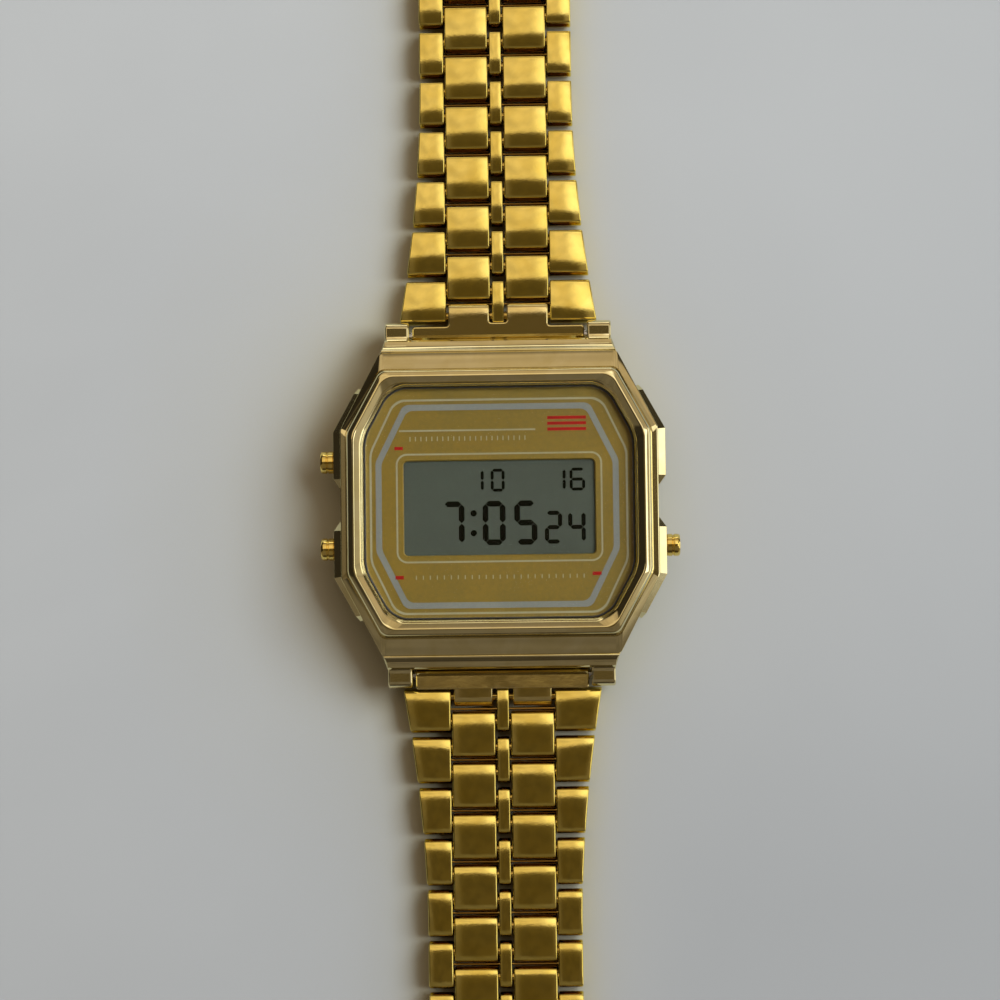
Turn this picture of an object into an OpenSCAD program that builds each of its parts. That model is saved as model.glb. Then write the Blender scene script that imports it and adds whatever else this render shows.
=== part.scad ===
// Digital wristwatch with a metal case and link bracelet, laid out flat and open, face up.
// X runs to 3 o'clock, Y to 12 o'clock and Z up. The origin is the middle of the case back.

/* [Case] */
// Width of the case band
case_w = 31.6; // [31.2:0.1:33]
// Length of the case band between the lugs
case_l = 30.6; // [30:0.1:31.2]
// Length of the straight stretch of each side
case_side_l = 14.4; // [13:0.1:15.5]
// Width of the straight stretch of each end
case_end_w = 23.4; // [23:0.1:24.4]
// Height of the bezel ridge above the table
case_h = 8.2; // [8:0.1:9]
// Height of the case shoulder where the bezel starts
shoulder_z = 6.7; // [6.6:0.1:7]
// Height of the case band's upper edge
band_z = 5.9; // [5.6:0.1:6.2]
// Thickness of the case back
back_t = 0.9; // [0.7:0.05:1]
// Step from the band's edge in to the case back
back_inset = 1; // [0.6:0.1:1.3]
// How far the side guards stand out from the band
guard_proud = 0.95; // [0.5:0.05:1.2]
// Half of the gap between the two guards of a side
guard_gap = 2; // [1:0.1:2.6]
// Height of the guards
guard_h = 3.6; // [3:0.1:4]

/* [Lugs and end pieces] */
// Width between the lugs
lug_gap = 18; // [17:0.1:19]
// Thickness of one lug
lug_t = 2.4; // [1.8:0.1:3]
// Distance of each spring bar beyond the case band's end
bar_out = 1.9; // [1.8:0.05:2.1]
// Height of the spring bars
bar_z = 2.6; // [2.4:0.1:2.8]
// Radius of the spring bar tube
bar_r = 0.6; // [0.5:0.05:0.65]
// Radius of the spring bar tips
tip_r = 0.38; // [0.3:0.02:0.42]
// Radius of the lug tip round the spring bar
lug_r = 1.1; // [0.9:0.05:1.2]
// Radius of the hood bar that joins two lugs
hood_r = 0.75; // [0.6:0.05:0.8]
// Wall of the end piece round the spring bar
roll_wall = 0.5; // [0.4:0.05:0.6]

/* [Bezel, crystal and dial] */
// Step from the band in to the bezel at each side
bezel_side_step = 0.4; // [0.3:0.05:0.6]
// Step from the band in to the bezel at each end
bezel_end_step = 1.8; // [1.7:0.05:2]
// Width of the bezel ring in plan
bezel_t = 1.5; // [1.3:0.05:1.6]
// Step of the ridge in from the bezel's outside
ridge_inset = 0.55; // [0.3:0.05:0.8]
// Thickness of the crystal
crystal_t = 1.45; // [1.2:0.05:1.5]
// Thickness of the gasket round the crystal
crystal_gasket_t = 0.35; // [0.2:0.05:0.4]
// Thickness of the dial plate
dial_t = 0.28; // [0.2:0.02:0.3]
// Width of the display window
window_w = 19.2; // [18:0.1:20]
// Length of the display window
window_l = 9.5; // [9:0.1:10]
// Distance of the window's middle below the dial's middle
window_drop = 0.5; // [0:0.1:0.8]

/* [Display] */
// Thickness of the display glass
lcd_t = 1.2; // [1:0.05:1.3]
// Thickness of the dark segments
segment_t = 0.04; // [0.02:0.01:0.05]
// Height of the time figures
time_h = 4.45; // [4:0.05:4.6]
// Width of the time figures
time_w = 2.3; // [2:0.05:2.5]
// Stroke of the time figures
time_stroke = 0.58; // [0.4:0.02:0.7]
// Height of the second figures
second_h = 3.3; // [3:0.05:3.6]
// Height of the date figures
date_h = 2.3; // [2:0.05:2.5]

/* [Module] */
// Wall left between the module and the bezel's outside
cavity_inset = 2.2; // [2:0.05:2.3]
// Room between the battery cell and the wall above and below it
cell_room = 1.3; // [1.3:0.1:3]
// Height of the battery cell
cell_h = 1.6; // [1.4:0.05:1.65]
// Room between the battery cell and the wall on its left
cell_side_room = 0.8; // [0.7:0.1:1.2]
// Thickness of the circuit board
board_t = 0.5; // [0.4:0.05:0.6]
// Thickness of the battery clamp
clamp_t = 0.15; // [0.1:0.01:0.2]
// Radius of the buzzer disc
buzzer_r = 8; // [7:0.1:9]
// Thickness of the buzzer disc
buzzer_t = 0.2; // [0.15:0.01:0.25]

/* [Buttons] */
// Distance of the buttons above and below the middle
button_y = 4.4; // [4.2:0.1:5]
// Height of the button axis
button_z = 4.1; // [4:0.05:4.2]
// Radius of a button cap
cap_r = 1.05; // [0.9:0.05:1.15]
// How far a cap stands out of its guard
cap_proud = 1.4; // [1:0.1:1.6]
// Radius of a button stem
stem_r = 0.45; // [0.4:0.02:0.5]
// Travel of a button
button_travel = 0.8; // [0.5:0.1:0.9]

/* [Bracelet] */
// Distance from one link to the next
pitch = 5.15; // [5.05:0.05:5.3]
// Height of a link
link_h = 2.6; // [2.4:0.1:2.8]
// Length of the outer and centre blocks
outer_l = 4.6; // [4.4:0.05:4.7]
// Length of the mid blocks
mid_l = 4.4; // [4.2:0.05:4.5]
// Half width of the centre block
centre_half = 0.6; // [0.4:0.01:0.7]
// Inner edge of a mid block
mid_in = 0.9; // [0.85:0.05:1.05]
// Outer edge of a mid block
mid_out = 5.1; // [4.8:0.05:5.2]
// Inner edge of an outer block
outer_in = 5.4; // [5.25:0.05:5.5]
// Half width of the bracelet
strap_half = 7.78; // [7.5:0.02:7.9]
// Half width of the bracelet where it meets the case
flare_half = 10.1; // [9.5:0.1:10.4]
// Length over which the bracelet narrows
flare_l = 24; // [20:1:30]
// Radius of the link pins
pin_r = 0.45; // [0.4:0.01:0.5]
// Number of links on the 12 o'clock half
upper_links = 8; // [8:1:8]
// Number of links on the 6 o'clock half
lower_links = 11; // [11:1:11]

/* [Clasp] */
// Distance between the two hinges of the clasp cover
cover_l = 29; // [28:0.5:32]
// Half width of the clasp cover
cover_half = 7.9; // [7.9:0.1:8.4]
// Thickness of the clasp cover's plate and walls
cover_t = 0.8; // [0.6:0.05:0.9]
// Height of the room under the clasp cover
cover_room = 2.3; // [2.3:0.05:2.6]
// Radius of the folding leaf's knuckle
knuckle_r = 1.05; // [1:0.05:1.1]
// Length of the folding leaf
leaf_l = 25; // [24:0.5:25.5]
// Half width of the folding leaf
leaf_half = 5.3; // [5:0.1:5.3]
// Thickness of the folding leaf
leaf_t = 0.7; // [0.6:0.05:0.8]
// Length of the slider
slider_l = 7; // [6.5:0.1:8]
// Distance from the leaf's hinge to the slider
slider_start = 9.5; // [9:0.5:11]
// Wall of the slider
slider_wall = 0.6; // [0.5:0.05:0.65]

/* [Fits] */
// Gap round a pin or screw that is pressed or screwed in
press_gap = 0.02; // [0.01:0.005:0.03]
// Gap round a shaft that turns or slides
run_gap = 0.05; // [0.02:0.01:0.08]
// Gap between two parts stacked in the case
stack_gap = 0.02; // [0.01:0.01:0.03]
// Side gap between moving parts of the clasp
clasp_gap = 0.1; // [0.05:0.01:0.12]

/* [Hidden] */
$fn = 64;
sides = [-1, 1];
cut = 0.5;
link_z = link_h / 2;
quarter = pitch / 4;
roll_r = bar_r + run_gap + roll_wall;
bore_r = pin_r + run_gap;
seat_r = pin_r + press_gap;
pin_wall = 0.5;
pin_end = strap_half - pin_wall;

// Plans of the case, given as half width, half length, half side and half end
corner_shift = 0.2;
bar_y = case_l / 2 + bar_out;
first_pin_y = bar_y + 2.2;
bezel_w = case_w - 2 * bezel_side_step;
bezel_l = case_l - 2 * bezel_end_step;
bezel_side_l = case_side_l - corner_shift;
bezel_end_w = case_end_w + 2 * corner_shift;
band_plan = [case_w, case_l, case_side_l, case_end_w] / 2;
bezel_plan = [bezel_w, bezel_l, bezel_side_l, bezel_end_w] / 2;
seat_gap = 0.03;
shoulder_lip = 0.15;

// Heights of the stack, from the table up
dial_z = band_z + 0.1;
dial_room = dial_t + 0.05;
bezel_z = dial_z + dial_room;
crystal_z = bezel_z;
clamp_z = back_t + 0.1;
cell_z = clamp_z + clamp_t + stack_gap;
board_z = cell_z + cell_h + stack_gap;
frame_z = board_z + board_t + stack_gap;
frame_top = dial_z - 0.06;
lcd_top = frame_top;
lcd_z = lcd_top - lcd_t;
reflector_t = 0.1;
reflector_z = lcd_z - reflector_t - stack_gap;
lcd_half_w = window_w / 2 + 0.8;
lcd_half_l = window_l / 2 + 1.7;
zebra_w = 1;
zebra_half = lcd_half_w - 1;
zebra_y = lcd_half_l - zebra_w / 2 - 0.1;

// Gasket and screws of the case back
gasket_out = 1.4;
gasket_w = 0.5;
gasket_h = 0.45;
screw_r = 0.5;
screw_head_r = 0.85;
screw_head_t = 0.4;
screw_recess = 0.12;
screw_depth = 2;
back_screw_x = case_end_w / 2 - 2.3;
back_screw_y = case_l / 2 - back_inset - 1.05;
back_pocket = 0.35;

// Button wells, worked in from the outside face of the guard
guard_x = case_w / 2 + guard_proud;
well_x = case_w / 2 - 1.6;
cap_in_x = well_x + button_travel + 0.9;
cavity_x = bezel_w / 2 - cavity_inset;
cavity_y = bezel_l / 2 - cavity_inset;
stem_in_x = cavity_x - 0.65;
clip_t = 0.2;
clip_r = 0.68;
seal_r = 0.8;
seal_t = 0.4;
seal_x = (well_x + cavity_x) / 2;
spring_wall = 0.25;
contact_x = stem_in_x - button_travel - 0.15;
contact_t = 0.12;
contact_half = 1.4;
contact_foot = 0.35;
// Each button: side, place along the case
buttons = [[-1, button_y], [-1, -button_y], [1, -button_y]];
button_names = ["left_upper", "left_lower", "right_lower"];

// Battery cell, module screws and the buzzer spring
cell_r = cavity_y - cell_room;
cell_left = cavity_x - cell_side_room - cell_r;
module_screw_left = cavity_x - 3.2;
module_screw_right = cavity_x - 4.2;
module_screw_y = cavity_y - 2.9;
module_screws_at = [for (x = [-module_screw_left, module_screw_right], s = sides) [x, s * module_screw_y]];
module_screw_r = 0.4;
module_head_r = 0.75;
buzzer_x = 2.4;
buzzer_z = back_t - back_pocket + stack_gap;
spring_x = cell_r - cell_left + 1.1;
spring_r = 0.55;

// Clasp, from the bracelet's last pin to the leaf's hinge
clasp_y = first_pin_y + upper_links * pitch;
hinge_y = clasp_y + cover_l;
ear_in = leaf_half + clasp_gap + 0.1;
slider_in = leaf_half + clasp_gap;
slider_out = slider_in + 0.9;
slider_h = 2 * knuckle_r;
slider_y = hinge_y + slider_start;
lock_t = slider_wall;
lock_z = slider_h - lock_t / 2;
lock_y = slider_y + slider_l - 0.6;
lock_l = slider_l - 3.6;
anchor_r = 1;
anchor_y = slider_y + anchor_r;
anchor_z = slider_h + anchor_r;

// Outline of a plan drawn in by a distance on all eight edges
function inset_points(plan, d) =
    let (
        a = plan[0], b = plan[1], s = plan[2], e = plan[3],
        nx = (b - s) / norm([b - s, a - e]),
        ny = (a - e) / norm([b - s, a - e]),
        reach = nx * a + ny * s - d,
        x1 = a - d, y1 = (reach - nx * (a - d)) / ny,
        y2 = b - d, x2 = (reach - ny * (b - d)) / nx
    )
    [[x1, -y1], [x1, y1], [x2, y2], [-x2, y2], [-x1, y1], [-x1, -y1], [-x2, -y2], [x2, -y2]];

// Half width of the bracelet at a distance from the watch's middle
function strap_at(y) =
    let (t = max(0, 1 - (y - first_pin_y + 1) / flare_l))
    strap_half + (flare_half - strap_half) * pow(t, 1.8);

module plan_plate(plan, d, z0, z1) {
    translate([0, 0, z0])
        linear_extrude(z1 - z0)
            polygon(inset_points(plan, d));
}

module plan_ring(plan, d_out, d_in, z0, z1) {
    difference() {
        plan_plate(plan, d_out, z0, z1);
        plan_plate(plan, d_in, z0 - cut, z1 + cut);
    }
}

// A straight-sided slope between two plans
module plan_slope(plan_low, d_low, z_low, plan_high, d_high, z_high) {
    skin = 0.01;
    hull() {
        plan_plate(plan_low, d_low, z_low, z_low + skin);
        plan_plate(plan_high, d_high, z_high - skin, z_high);
    }
}

module block(x0, x1, y0, y1, z0, z1) {
    translate([x0, y0, z0])
        cube([x1 - x0, y1 - y0, z1 - z0]);
}

// A round bar or bore along X between two places
module rod(x0, x1, y, z, r) {
    translate([x0, y, z])
        rotate([0, 90, 0])
            cylinder(h = x1 - x0, r = r);
}

// A side view extruded along X
module along_x(x0, x1) {
    translate([x0, 0, 0])
        rotate([90, 0, 90])
            linear_extrude(x1 - x0)
                children();
}

// Side view of a link block: a bar with half-round ends
module block_side(y_mid, l) {
    translate([y_mid, link_z])
        union() {
            square([l - link_h, link_h], center = true);
            for (s = sides)
                translate([s * (l - link_h) / 2, 0])
                    circle(r = link_h / 2);
        }
}

module lug_side() {
    top_y = case_l / 2;
    polygon([
        [top_y - 1, back_t],
        [top_y + 1, back_t + 0.4],
        [bar_y, bar_z - lug_r],
        [bar_y + lug_r, bar_z],
        [bar_y + lug_r * 0.9, bar_z + 0.8],
        [top_y + 1.2, band_z - 0.4],
        [top_y - 1, band_z]
    ]);
    translate([bar_y, bar_z])
        circle(r = lug_r);
}

module guard_plan() {
    x = case_w / 2;
    y_low = case_side_l / 2;
    polygon([
        [x - 1, guard_gap],
        [x + guard_proud, guard_gap + 0.2],
        [x + guard_proud, y_low - 0.2],
        [x - 1.3, y_low + 4.2],
        [x - 2, y_low + 2]
    ]);
}

module button_well(side, y) {
    scale_side = side < 0 ? 180 : 0;
    translate([0, y, button_z])
        rotate([0, 0, scale_side]) {
            rod(well_x, guard_x + cut, 0, 0, cap_r + run_gap);
            rod(cavity_x - 0.3, well_x + cut, 0, 0, stem_r + run_gap);
            rod(seal_x - seal_t / 2 - press_gap, seal_x + seal_t / 2 + press_gap, 0, 0, seal_r + press_gap);
        }
}

module back_screw_places() {
    for (sx = sides, sy = sides)
        translate([sx * back_screw_x, sy * back_screw_y, 0])
            children();
}

module case_body() {
    color("#d8c58c")
        difference() {
            union() {
                plan_plate(band_plan, 0, back_t, band_z);
                plan_slope(band_plan, 0, band_z - 0.1, bezel_plan, -shoulder_lip, shoulder_z);
                for (sx = sides, sy = sides)
                    scale([sx, sy, 1]) {
                        along_x(lug_gap / 2, lug_gap / 2 + lug_t)
                            lug_side();
                        translate([0, 0, button_z - guard_h / 2])
                            linear_extrude(guard_h)
                                guard_plan();
                    }
                for (sy = sides) {
                    rod(-lug_gap / 2 - 1, lug_gap / 2 + 1, sy * (case_l / 2 + 0.55), band_z - hood_r, hood_r);
                    scale([1, sy, 1])
                        block(-lug_gap / 2 - 1, lug_gap / 2 + 1, case_l / 2 - 1, case_l / 2 + 0.55,
                            band_z - 2 * hood_r, band_z);
                }
            }
            plan_plate(bezel_plan, cavity_inset, back_t - cut, dial_z + cut);
            plan_plate(bezel_plan, bezel_t, dial_z, shoulder_z + cut);
            plan_plate(bezel_plan, -seat_gap, bezel_z, shoulder_z + cut);
            plan_ring(bezel_plan, gasket_out, gasket_out + gasket_w, back_t - cut, back_t + gasket_h);
            for (b = buttons)
                button_well(b[0], b[1]);
            for (sy = sides)
                rod(-lug_gap / 2 - 1.1, lug_gap / 2 + 1.1, sy * bar_y, bar_z, tip_r + press_gap);
            back_screw_places()
                cylinder(h = back_t + screw_depth + press_gap, r = screw_r + press_gap);
        }
}

module bezel() {
    color("#e2d29a")
        difference() {
            union() {
                plan_plate(bezel_plan, 0, bezel_z, shoulder_z + 0.2);
                plan_slope(bezel_plan, 0, shoulder_z + 0.1, bezel_plan, ridge_inset, case_h);
            }
            plan_plate(bezel_plan, bezel_t, bezel_z - cut, case_h + cut);
            plan_slope(bezel_plan, bezel_t, crystal_z + crystal_t - 0.2, bezel_plan, ridge_inset + 0.15, case_h + 0.01);
        }
}

module crystal() {
    color("#cfd8d4", 0.35)
        plan_plate(bezel_plan, bezel_t + crystal_gasket_t + press_gap, crystal_z, crystal_z + crystal_t);
}

module crystal_gasket() {
    color("#2a261c")
        plan_ring(bezel_plan, bezel_t + press_gap, bezel_t + crystal_gasket_t, crystal_z, crystal_z + crystal_t - 0.3);
}

module dial_plate() {
    y = -window_drop;
    color("#8a6c2c")
        difference() {
            plan_plate(bezel_plan, bezel_t + press_gap, dial_z, dial_z + dial_t);
            block(-window_w / 2, window_w / 2, y - window_l / 2, y + window_l / 2, dial_z - cut, dial_z + dial_t + cut);
        }
}

module lcd_box(grow, z0, z1) {
    y = -window_drop;
    block(-lcd_half_w - grow, lcd_half_w + grow, y - lcd_half_l - grow, y + lcd_half_l + grow, z0, z1);
}

module lcd_panel() {
    color("#7d8478")
        lcd_box(0, lcd_z, lcd_top);
}

// One figure of seven bars, lit by the list of bars that show
module figure(w, h, stroke, lit) {
    gap = 0.06;
    half_h = h / 2;
    s = stroke / 2;
    module bar(l) {
        polygon([[-l / 2, 0], [-l / 2 + s, s], [l / 2 - s, s], [l / 2, 0], [l / 2 - s, -s], [-l / 2 + s, -s]]);
    }
    across = w - stroke - gap;
    down = half_h - s - gap;
    places = [
        [0, half_h - s, 0, across],
        [w / 2 - s, half_h / 2 - s / 2, 90, down],
        [w / 2 - s, -half_h / 2 + s / 2, 90, down],
        [0, -half_h + s, 0, across],
        [-w / 2 + s, -half_h / 2 + s / 2, 90, down],
        [-w / 2 + s, half_h / 2 - s / 2, 90, down],
        [0, 0, 0, across]
    ];
    for (i = lit)
        translate([places[i][0], places[i][1]])
            rotate(places[i][2])
                bar(places[i][3]);
}

// Bars of the figures 0 to 9: top, right upper, right lower, bottom, left lower, left upper, middle
bars_of = [
    [0, 1, 2, 3, 4, 5], [1, 2], [0, 1, 6, 4, 3], [0, 1, 6, 2, 3], [5, 6, 1, 2],
    [0, 5, 6, 2, 3], [0, 5, 4, 3, 2, 6], [0, 1, 2], [0, 1, 2, 3, 4, 5, 6], [0, 1, 2, 3, 5, 6]
];
time_y = -2.05;
// Each figure: value, x, y, width, height, stroke
figures = [
    [7, -4.67, time_y, time_w, time_h, time_stroke],
    [0, -0.55, time_y, time_w, time_h, time_stroke],
    [5, 2.63, time_y, time_w, time_h, time_stroke],
    [2, 5.4, time_y - 0.5, 1.75, second_h, 0.42],
    [4, 7.75, time_y - 0.5, 1.75, second_h, 0.42],
    [1, -2.25, 2.25, 1.4, date_h, 0.3],
    [0, -0.15, 2.25, 1.4, date_h, 0.3],
    [1, 5.9, 2.25, 1.55, date_h, 0.3],
    [6, 7.85, 2.25, 1.55, date_h, 0.3]
];
colon_x = -2.6;
colon_r = 0.32;

module lcd_digits() {
    color("#24272a")
        translate([0, 0, lcd_top])
            linear_extrude(segment_t) {
                for (f = figures)
                    translate([f[1], f[2]])
                        figure(f[3], f[4], f[5], bars_of[f[0]]);
                for (s = sides)
                    translate([colon_x, time_y + s])
                        circle(r = colon_r, $fn = 24);
            }
}

module lcd_reflector() {
    y = -window_drop;
    l = zebra_y - zebra_w / 2 - 0.1;
    color("#c9cfc6")
        block(-lcd_half_w, lcd_half_w, y - l, y + l, reflector_z, reflector_z + reflector_t);
}

module zebra_places() {
    for (s = sides)
        translate([0, -window_drop + s * zebra_y, 0])
            children();
}

module zebra_connectors() {
    color("#d9d2cf")
        zebra_places()
            block(-zebra_half, zebra_half, -zebra_w / 2, zebra_w / 2, board_z + board_t, lcd_z);
}

chip_half = 2.6;
can_r = 0.6;
can_l = 5;
can_x = -7.9;
can_y = -4;
lamp_w = 0.7;
lamp_l = 2.4;
lamp_x = -lcd_half_w - lamp_w - 0.1;

module module_frame() {
    color("#2c2c2e")
        difference() {
            plan_plate(bezel_plan, cavity_inset + 0.25, frame_z, frame_top - 0.02);
            lcd_box(0.05, reflector_z, frame_top + cut);
            zebra_places()
                block(-zebra_half - 0.05, zebra_half + 0.05, -zebra_w / 2 - 0.05, zebra_w / 2 + 0.05, frame_z - cut, lcd_z);
            block(-chip_half - 0.1, chip_half + 0.1, -chip_half - 0.1, chip_half + 0.1, frame_z - cut, frame_z + 0.9);
            block(can_x - 0.1, can_x + can_l + 0.1, can_y - can_r - 0.1, can_y + can_r + 0.1,
                frame_z - cut, frame_z + 2 * can_r + 0.05);
            block(lamp_x - 0.05, lamp_x + lamp_w + 0.2, -lamp_l / 2 - 0.05, lamp_l / 2 + 0.05, frame_z - cut, frame_top + cut);
            for (b = buttons)
                translate([0, b[1], 0])
                    rotate([0, 0, b[0] < 0 ? 180 : 0])
                        block(contact_x - 0.35, cavity_x + cut, -contact_half - 0.3, contact_half + 0.3,
                            frame_z - cut, button_z + clip_r + 0.15);
        }
}

module circuit_board() {
    color("#2f6b45")
        plan_plate(bezel_plan, cavity_inset + 0.25, board_z, board_z + board_t);
}

module control_chip() {
    z = board_z + board_t;
    color("#1d1d1f")
        block(-chip_half, chip_half, -chip_half, chip_half, z, z + 0.8);
}

module quartz_can() {
    color("#c6c8cc")
        rod(can_x, can_x + can_l, can_y, board_z + board_t + can_r, can_r);
}

module backlight_lamp() {
    z = board_z + board_t;
    color("#f1efe2")
        block(lamp_x, lamp_x + lamp_w, -lamp_l / 2, lamp_l / 2, z, lcd_z + lcd_t / 2);
}

module battery_cell() {
    color("#c9ccd1")
        translate([-cell_left, 0, cell_z])
            cylinder(h = cell_h, r = cell_r);
}

module battery_ring() {
    color("#3a3a3c")
        difference() {
            plan_plate(bezel_plan, cavity_inset + 0.25, cell_z, board_z - stack_gap);
            translate([-cell_left, 0, cell_z - cut])
                cylinder(h = cell_h + 2 * cut, r = cell_r + 0.05);
            for (p = module_screws_at)
                translate([p[0], p[1], cell_z - cut])
                    cylinder(h = cell_h + 2 * cut, r = module_screw_r + press_gap);
            translate([spring_x, 0, cell_z - cut])
                cylinder(h = cell_h + 2 * cut, r = spring_r + 0.1);
        }
}

module battery_clamp() {
    color("#d4d4d0")
        difference() {
            translate([0, 0, clamp_z])
                linear_extrude(clamp_t)
                    difference() {
                        polygon(inset_points(bezel_plan, cavity_inset + 0.5));
                        translate([-cell_left, 0])
                            circle(r = cell_r - 2.4);
                    }
            for (p = module_screws_at)
                translate([p[0], p[1], clamp_z - cut])
                    cylinder(h = 2 * cut, r = module_screw_r + press_gap);
            translate([spring_x, 0, clamp_z - cut])
                cylinder(h = 2 * cut, r = spring_r + 0.1);
        }
}

module module_screws() {
    color("#b9bbc0")
        for (p = module_screws_at)
            translate([p[0], p[1], 0]) {
                translate([0, 0, clamp_z - 0.2])
                    cylinder(h = 0.2, r = module_head_r);
                translate([0, 0, clamp_z - 0.01])
                    cylinder(h = clamp_t + cell_h, r = module_screw_r);
            }
}

module contact_springs() {
    z = board_z + board_t;
    color("#cdb26a")
        for (b = buttons)
            translate([0, b[1], 0])
                rotate([0, 0, b[0] < 0 ? 180 : 0]) {
                    block(contact_x - contact_t, contact_x, -contact_half, contact_half, z, button_z + stem_r);
                    block(contact_x - contact_t, contact_x + contact_foot, -contact_half, contact_half, z, z + contact_t);
                }
}

module buzzer_disc() {
    color("#c9a24a")
        translate([buzzer_x, 0, buzzer_z])
            cylinder(h = buzzer_t, r = buzzer_r);
}

module buzzer_spring() {
    z = buzzer_z + buzzer_t;
    color("#b9bbc0")
        translate([spring_x, 0, z])
            cylinder(h = board_z - z, r = spring_r);
}

module back_gasket() {
    color("#202020")
        plan_ring(bezel_plan, gasket_out + press_gap, gasket_out + gasket_w - press_gap, back_t, back_t + gasket_h - press_gap);
}

module case_back() {
    color("#c8cacc")
        difference() {
            plan_plate(band_plan, back_inset, 0, back_t);
            plan_plate(bezel_plan, cavity_inset + 0.6, back_t - back_pocket, back_t + cut);
            back_screw_places() {
                translate([0, 0, -cut])
                    cylinder(h = cut + screw_recess + screw_head_t, r = screw_head_r + 0.05);
                cylinder(h = back_t + cut, r = screw_r + press_gap);
            }
        }
}

module case_back_screws() {
    color("#b4b6ba")
        back_screw_places()
            difference() {
                union() {
                    translate([0, 0, screw_recess])
                        cylinder(h = screw_head_t, r = screw_head_r);
                    translate([0, 0, screw_recess])
                        cylinder(h = back_t + screw_depth - screw_recess, r = screw_r);
                }
                block(-0.12, 0.12, -screw_head_r - cut, screw_head_r + cut, screw_recess - cut, screw_recess + 0.2);
            }
}

// Puts a child drawn on the right side at a button's side and height
module at_button(b) {
    translate([0, b[1], button_z])
        rotate([0, 0, b[0] < 0 ? 180 : 0])
            children();
}

module button_seals() {
    color("#1c1c1c")
        for (b = buttons)
            at_button(b)
                difference() {
                    rod(seal_x - seal_t / 2, seal_x + seal_t / 2, 0, 0, seal_r);
                    rod(seal_x - seal_t, seal_x + seal_t, 0, 0, stem_r + press_gap);
                }
}

module button(b) {
    color("#dcc47c")
        at_button(b) {
            difference() {
                rod(cap_in_x, guard_x + cap_proud, 0, 0, cap_r);
                rod(guard_x + cap_proud - 0.1, guard_x + cap_proud + cut, 0, 0, cap_r - 0.3);
            }
            difference() {
                rod(stem_in_x, cap_in_x + 0.1, 0, 0, stem_r);
                difference() {
                    rod(stem_in_x + 0.3, stem_in_x + 0.3 + clip_t + 2 * press_gap, 0, 0, stem_r + cut);
                    rod(stem_in_x, cap_in_x, 0, 0, stem_r - 0.12);
                }
            }
        }
}

module button_spring(b) {
    color("#b9bbc0")
        at_button(b)
            difference() {
                rod(well_x, cap_in_x, 0, 0, stem_r + run_gap + spring_wall);
                rod(well_x - cut, cap_in_x + cut, 0, 0, stem_r + run_gap);
            }
}

module button_clip(b) {
    x = stem_in_x + 0.3 + press_gap;
    color("#9a9ca0")
        at_button(b)
            difference() {
                rod(x, x + clip_t, 0, 0, clip_r);
                rod(x - cut, x + clip_t + cut, 0, 0, stem_r - 0.12 + press_gap);
                block(x - cut, x + clip_t + cut, -0.2, 0.2, 0, clip_r + cut);
            }
}

module spring_bars() {
    color("#bfc1c4")
        for (s = sides) {
            rod(-lug_gap / 2 + 0.15, lug_gap / 2 - 0.15, s * bar_y, bar_z, bar_r);
            rod(-lug_gap / 2 - 1, lug_gap / 2 + 1, s * bar_y, bar_z, tip_r);
        }
}

// End piece drawn on the 12 o'clock side: a roll round the spring bar with two tongues
module end_piece() {
    tongue_r = link_h / 2 - 0.2;
    color("#d9c27a")
        difference() {
            union() {
                rod(-lug_gap / 2 + 0.3, lug_gap / 2 - 0.3, bar_y, bar_z, roll_r);
                for (s = sides)
                    scale([s, 1, 1]) {
                        rod(mid_in, mid_out, first_pin_y, link_z, tongue_r);
                        along_x(mid_in, mid_out)
                            polygon([
                                [bar_y - 0.2, bar_z - roll_r + 0.03],
                                [first_pin_y, link_z - tongue_r],
                                [first_pin_y, link_z + tongue_r],
                                [bar_y + 0.4, bar_z + roll_r - 0.08]
                            ]);
                    }
            }
            rod(-lug_gap, lug_gap, bar_y, bar_z, bar_r + run_gap);
            rod(-lug_gap, lug_gap, first_pin_y, link_z, bore_r);
        }
}

// One outer block with its flared outside and two blind pin bores
module outer_block(mid_y) {
    y0 = mid_y - outer_l / 2;
    y1 = mid_y + outer_l / 2;
    difference() {
        intersection() {
            along_x(outer_in, flare_half + 1)
                block_side(mid_y, outer_l);
            linear_extrude(link_h)
                polygon([[outer_in, y0], [strap_at(y0), y0], [strap_at(y1), y1], [outer_in, y1]]);
        }
        for (s = sides)
            rod(outer_in - cut, pin_end + press_gap, mid_y + s * quarter, link_z, seat_r);
    }
}

// One pitch of bracelet: three blocks in a row, two behind them, and two pins
module link_at(pin_y) {
    mid_y = pin_y + quarter;
    rear_y = mid_y + 2 * quarter;
    color("#d2b04e") {
        for (s = sides)
            scale([s, 1, 1])
                outer_block(mid_y);
        difference() {
            along_x(-centre_half, centre_half)
                block_side(mid_y, outer_l);
            for (s = sides)
                rod(-mid_in, mid_in, mid_y + s * quarter, link_z, seat_r);
        }
        for (s = sides)
            scale([s, 1, 1])
                difference() {
                    along_x(mid_in, mid_out)
                        block_side(rear_y, mid_l);
                    rod(mid_in - cut, mid_out + cut, rear_y - quarter, link_z, seat_r);
                    rod(mid_in - cut, mid_out + cut, rear_y + quarter, link_z, bore_r);
                }
    }
    color("#a9a9a4")
        for (s = sides)
            rod(-pin_end, pin_end, mid_y + s * quarter, link_z, pin_r);
}

module link_upper(i) {
    link_at(first_pin_y + (i - 1) * pitch);
}

module link_lower(i) {
    rotate([0, 0, 180])
        link_at(first_pin_y + (i - 1) * pitch);
}

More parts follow.
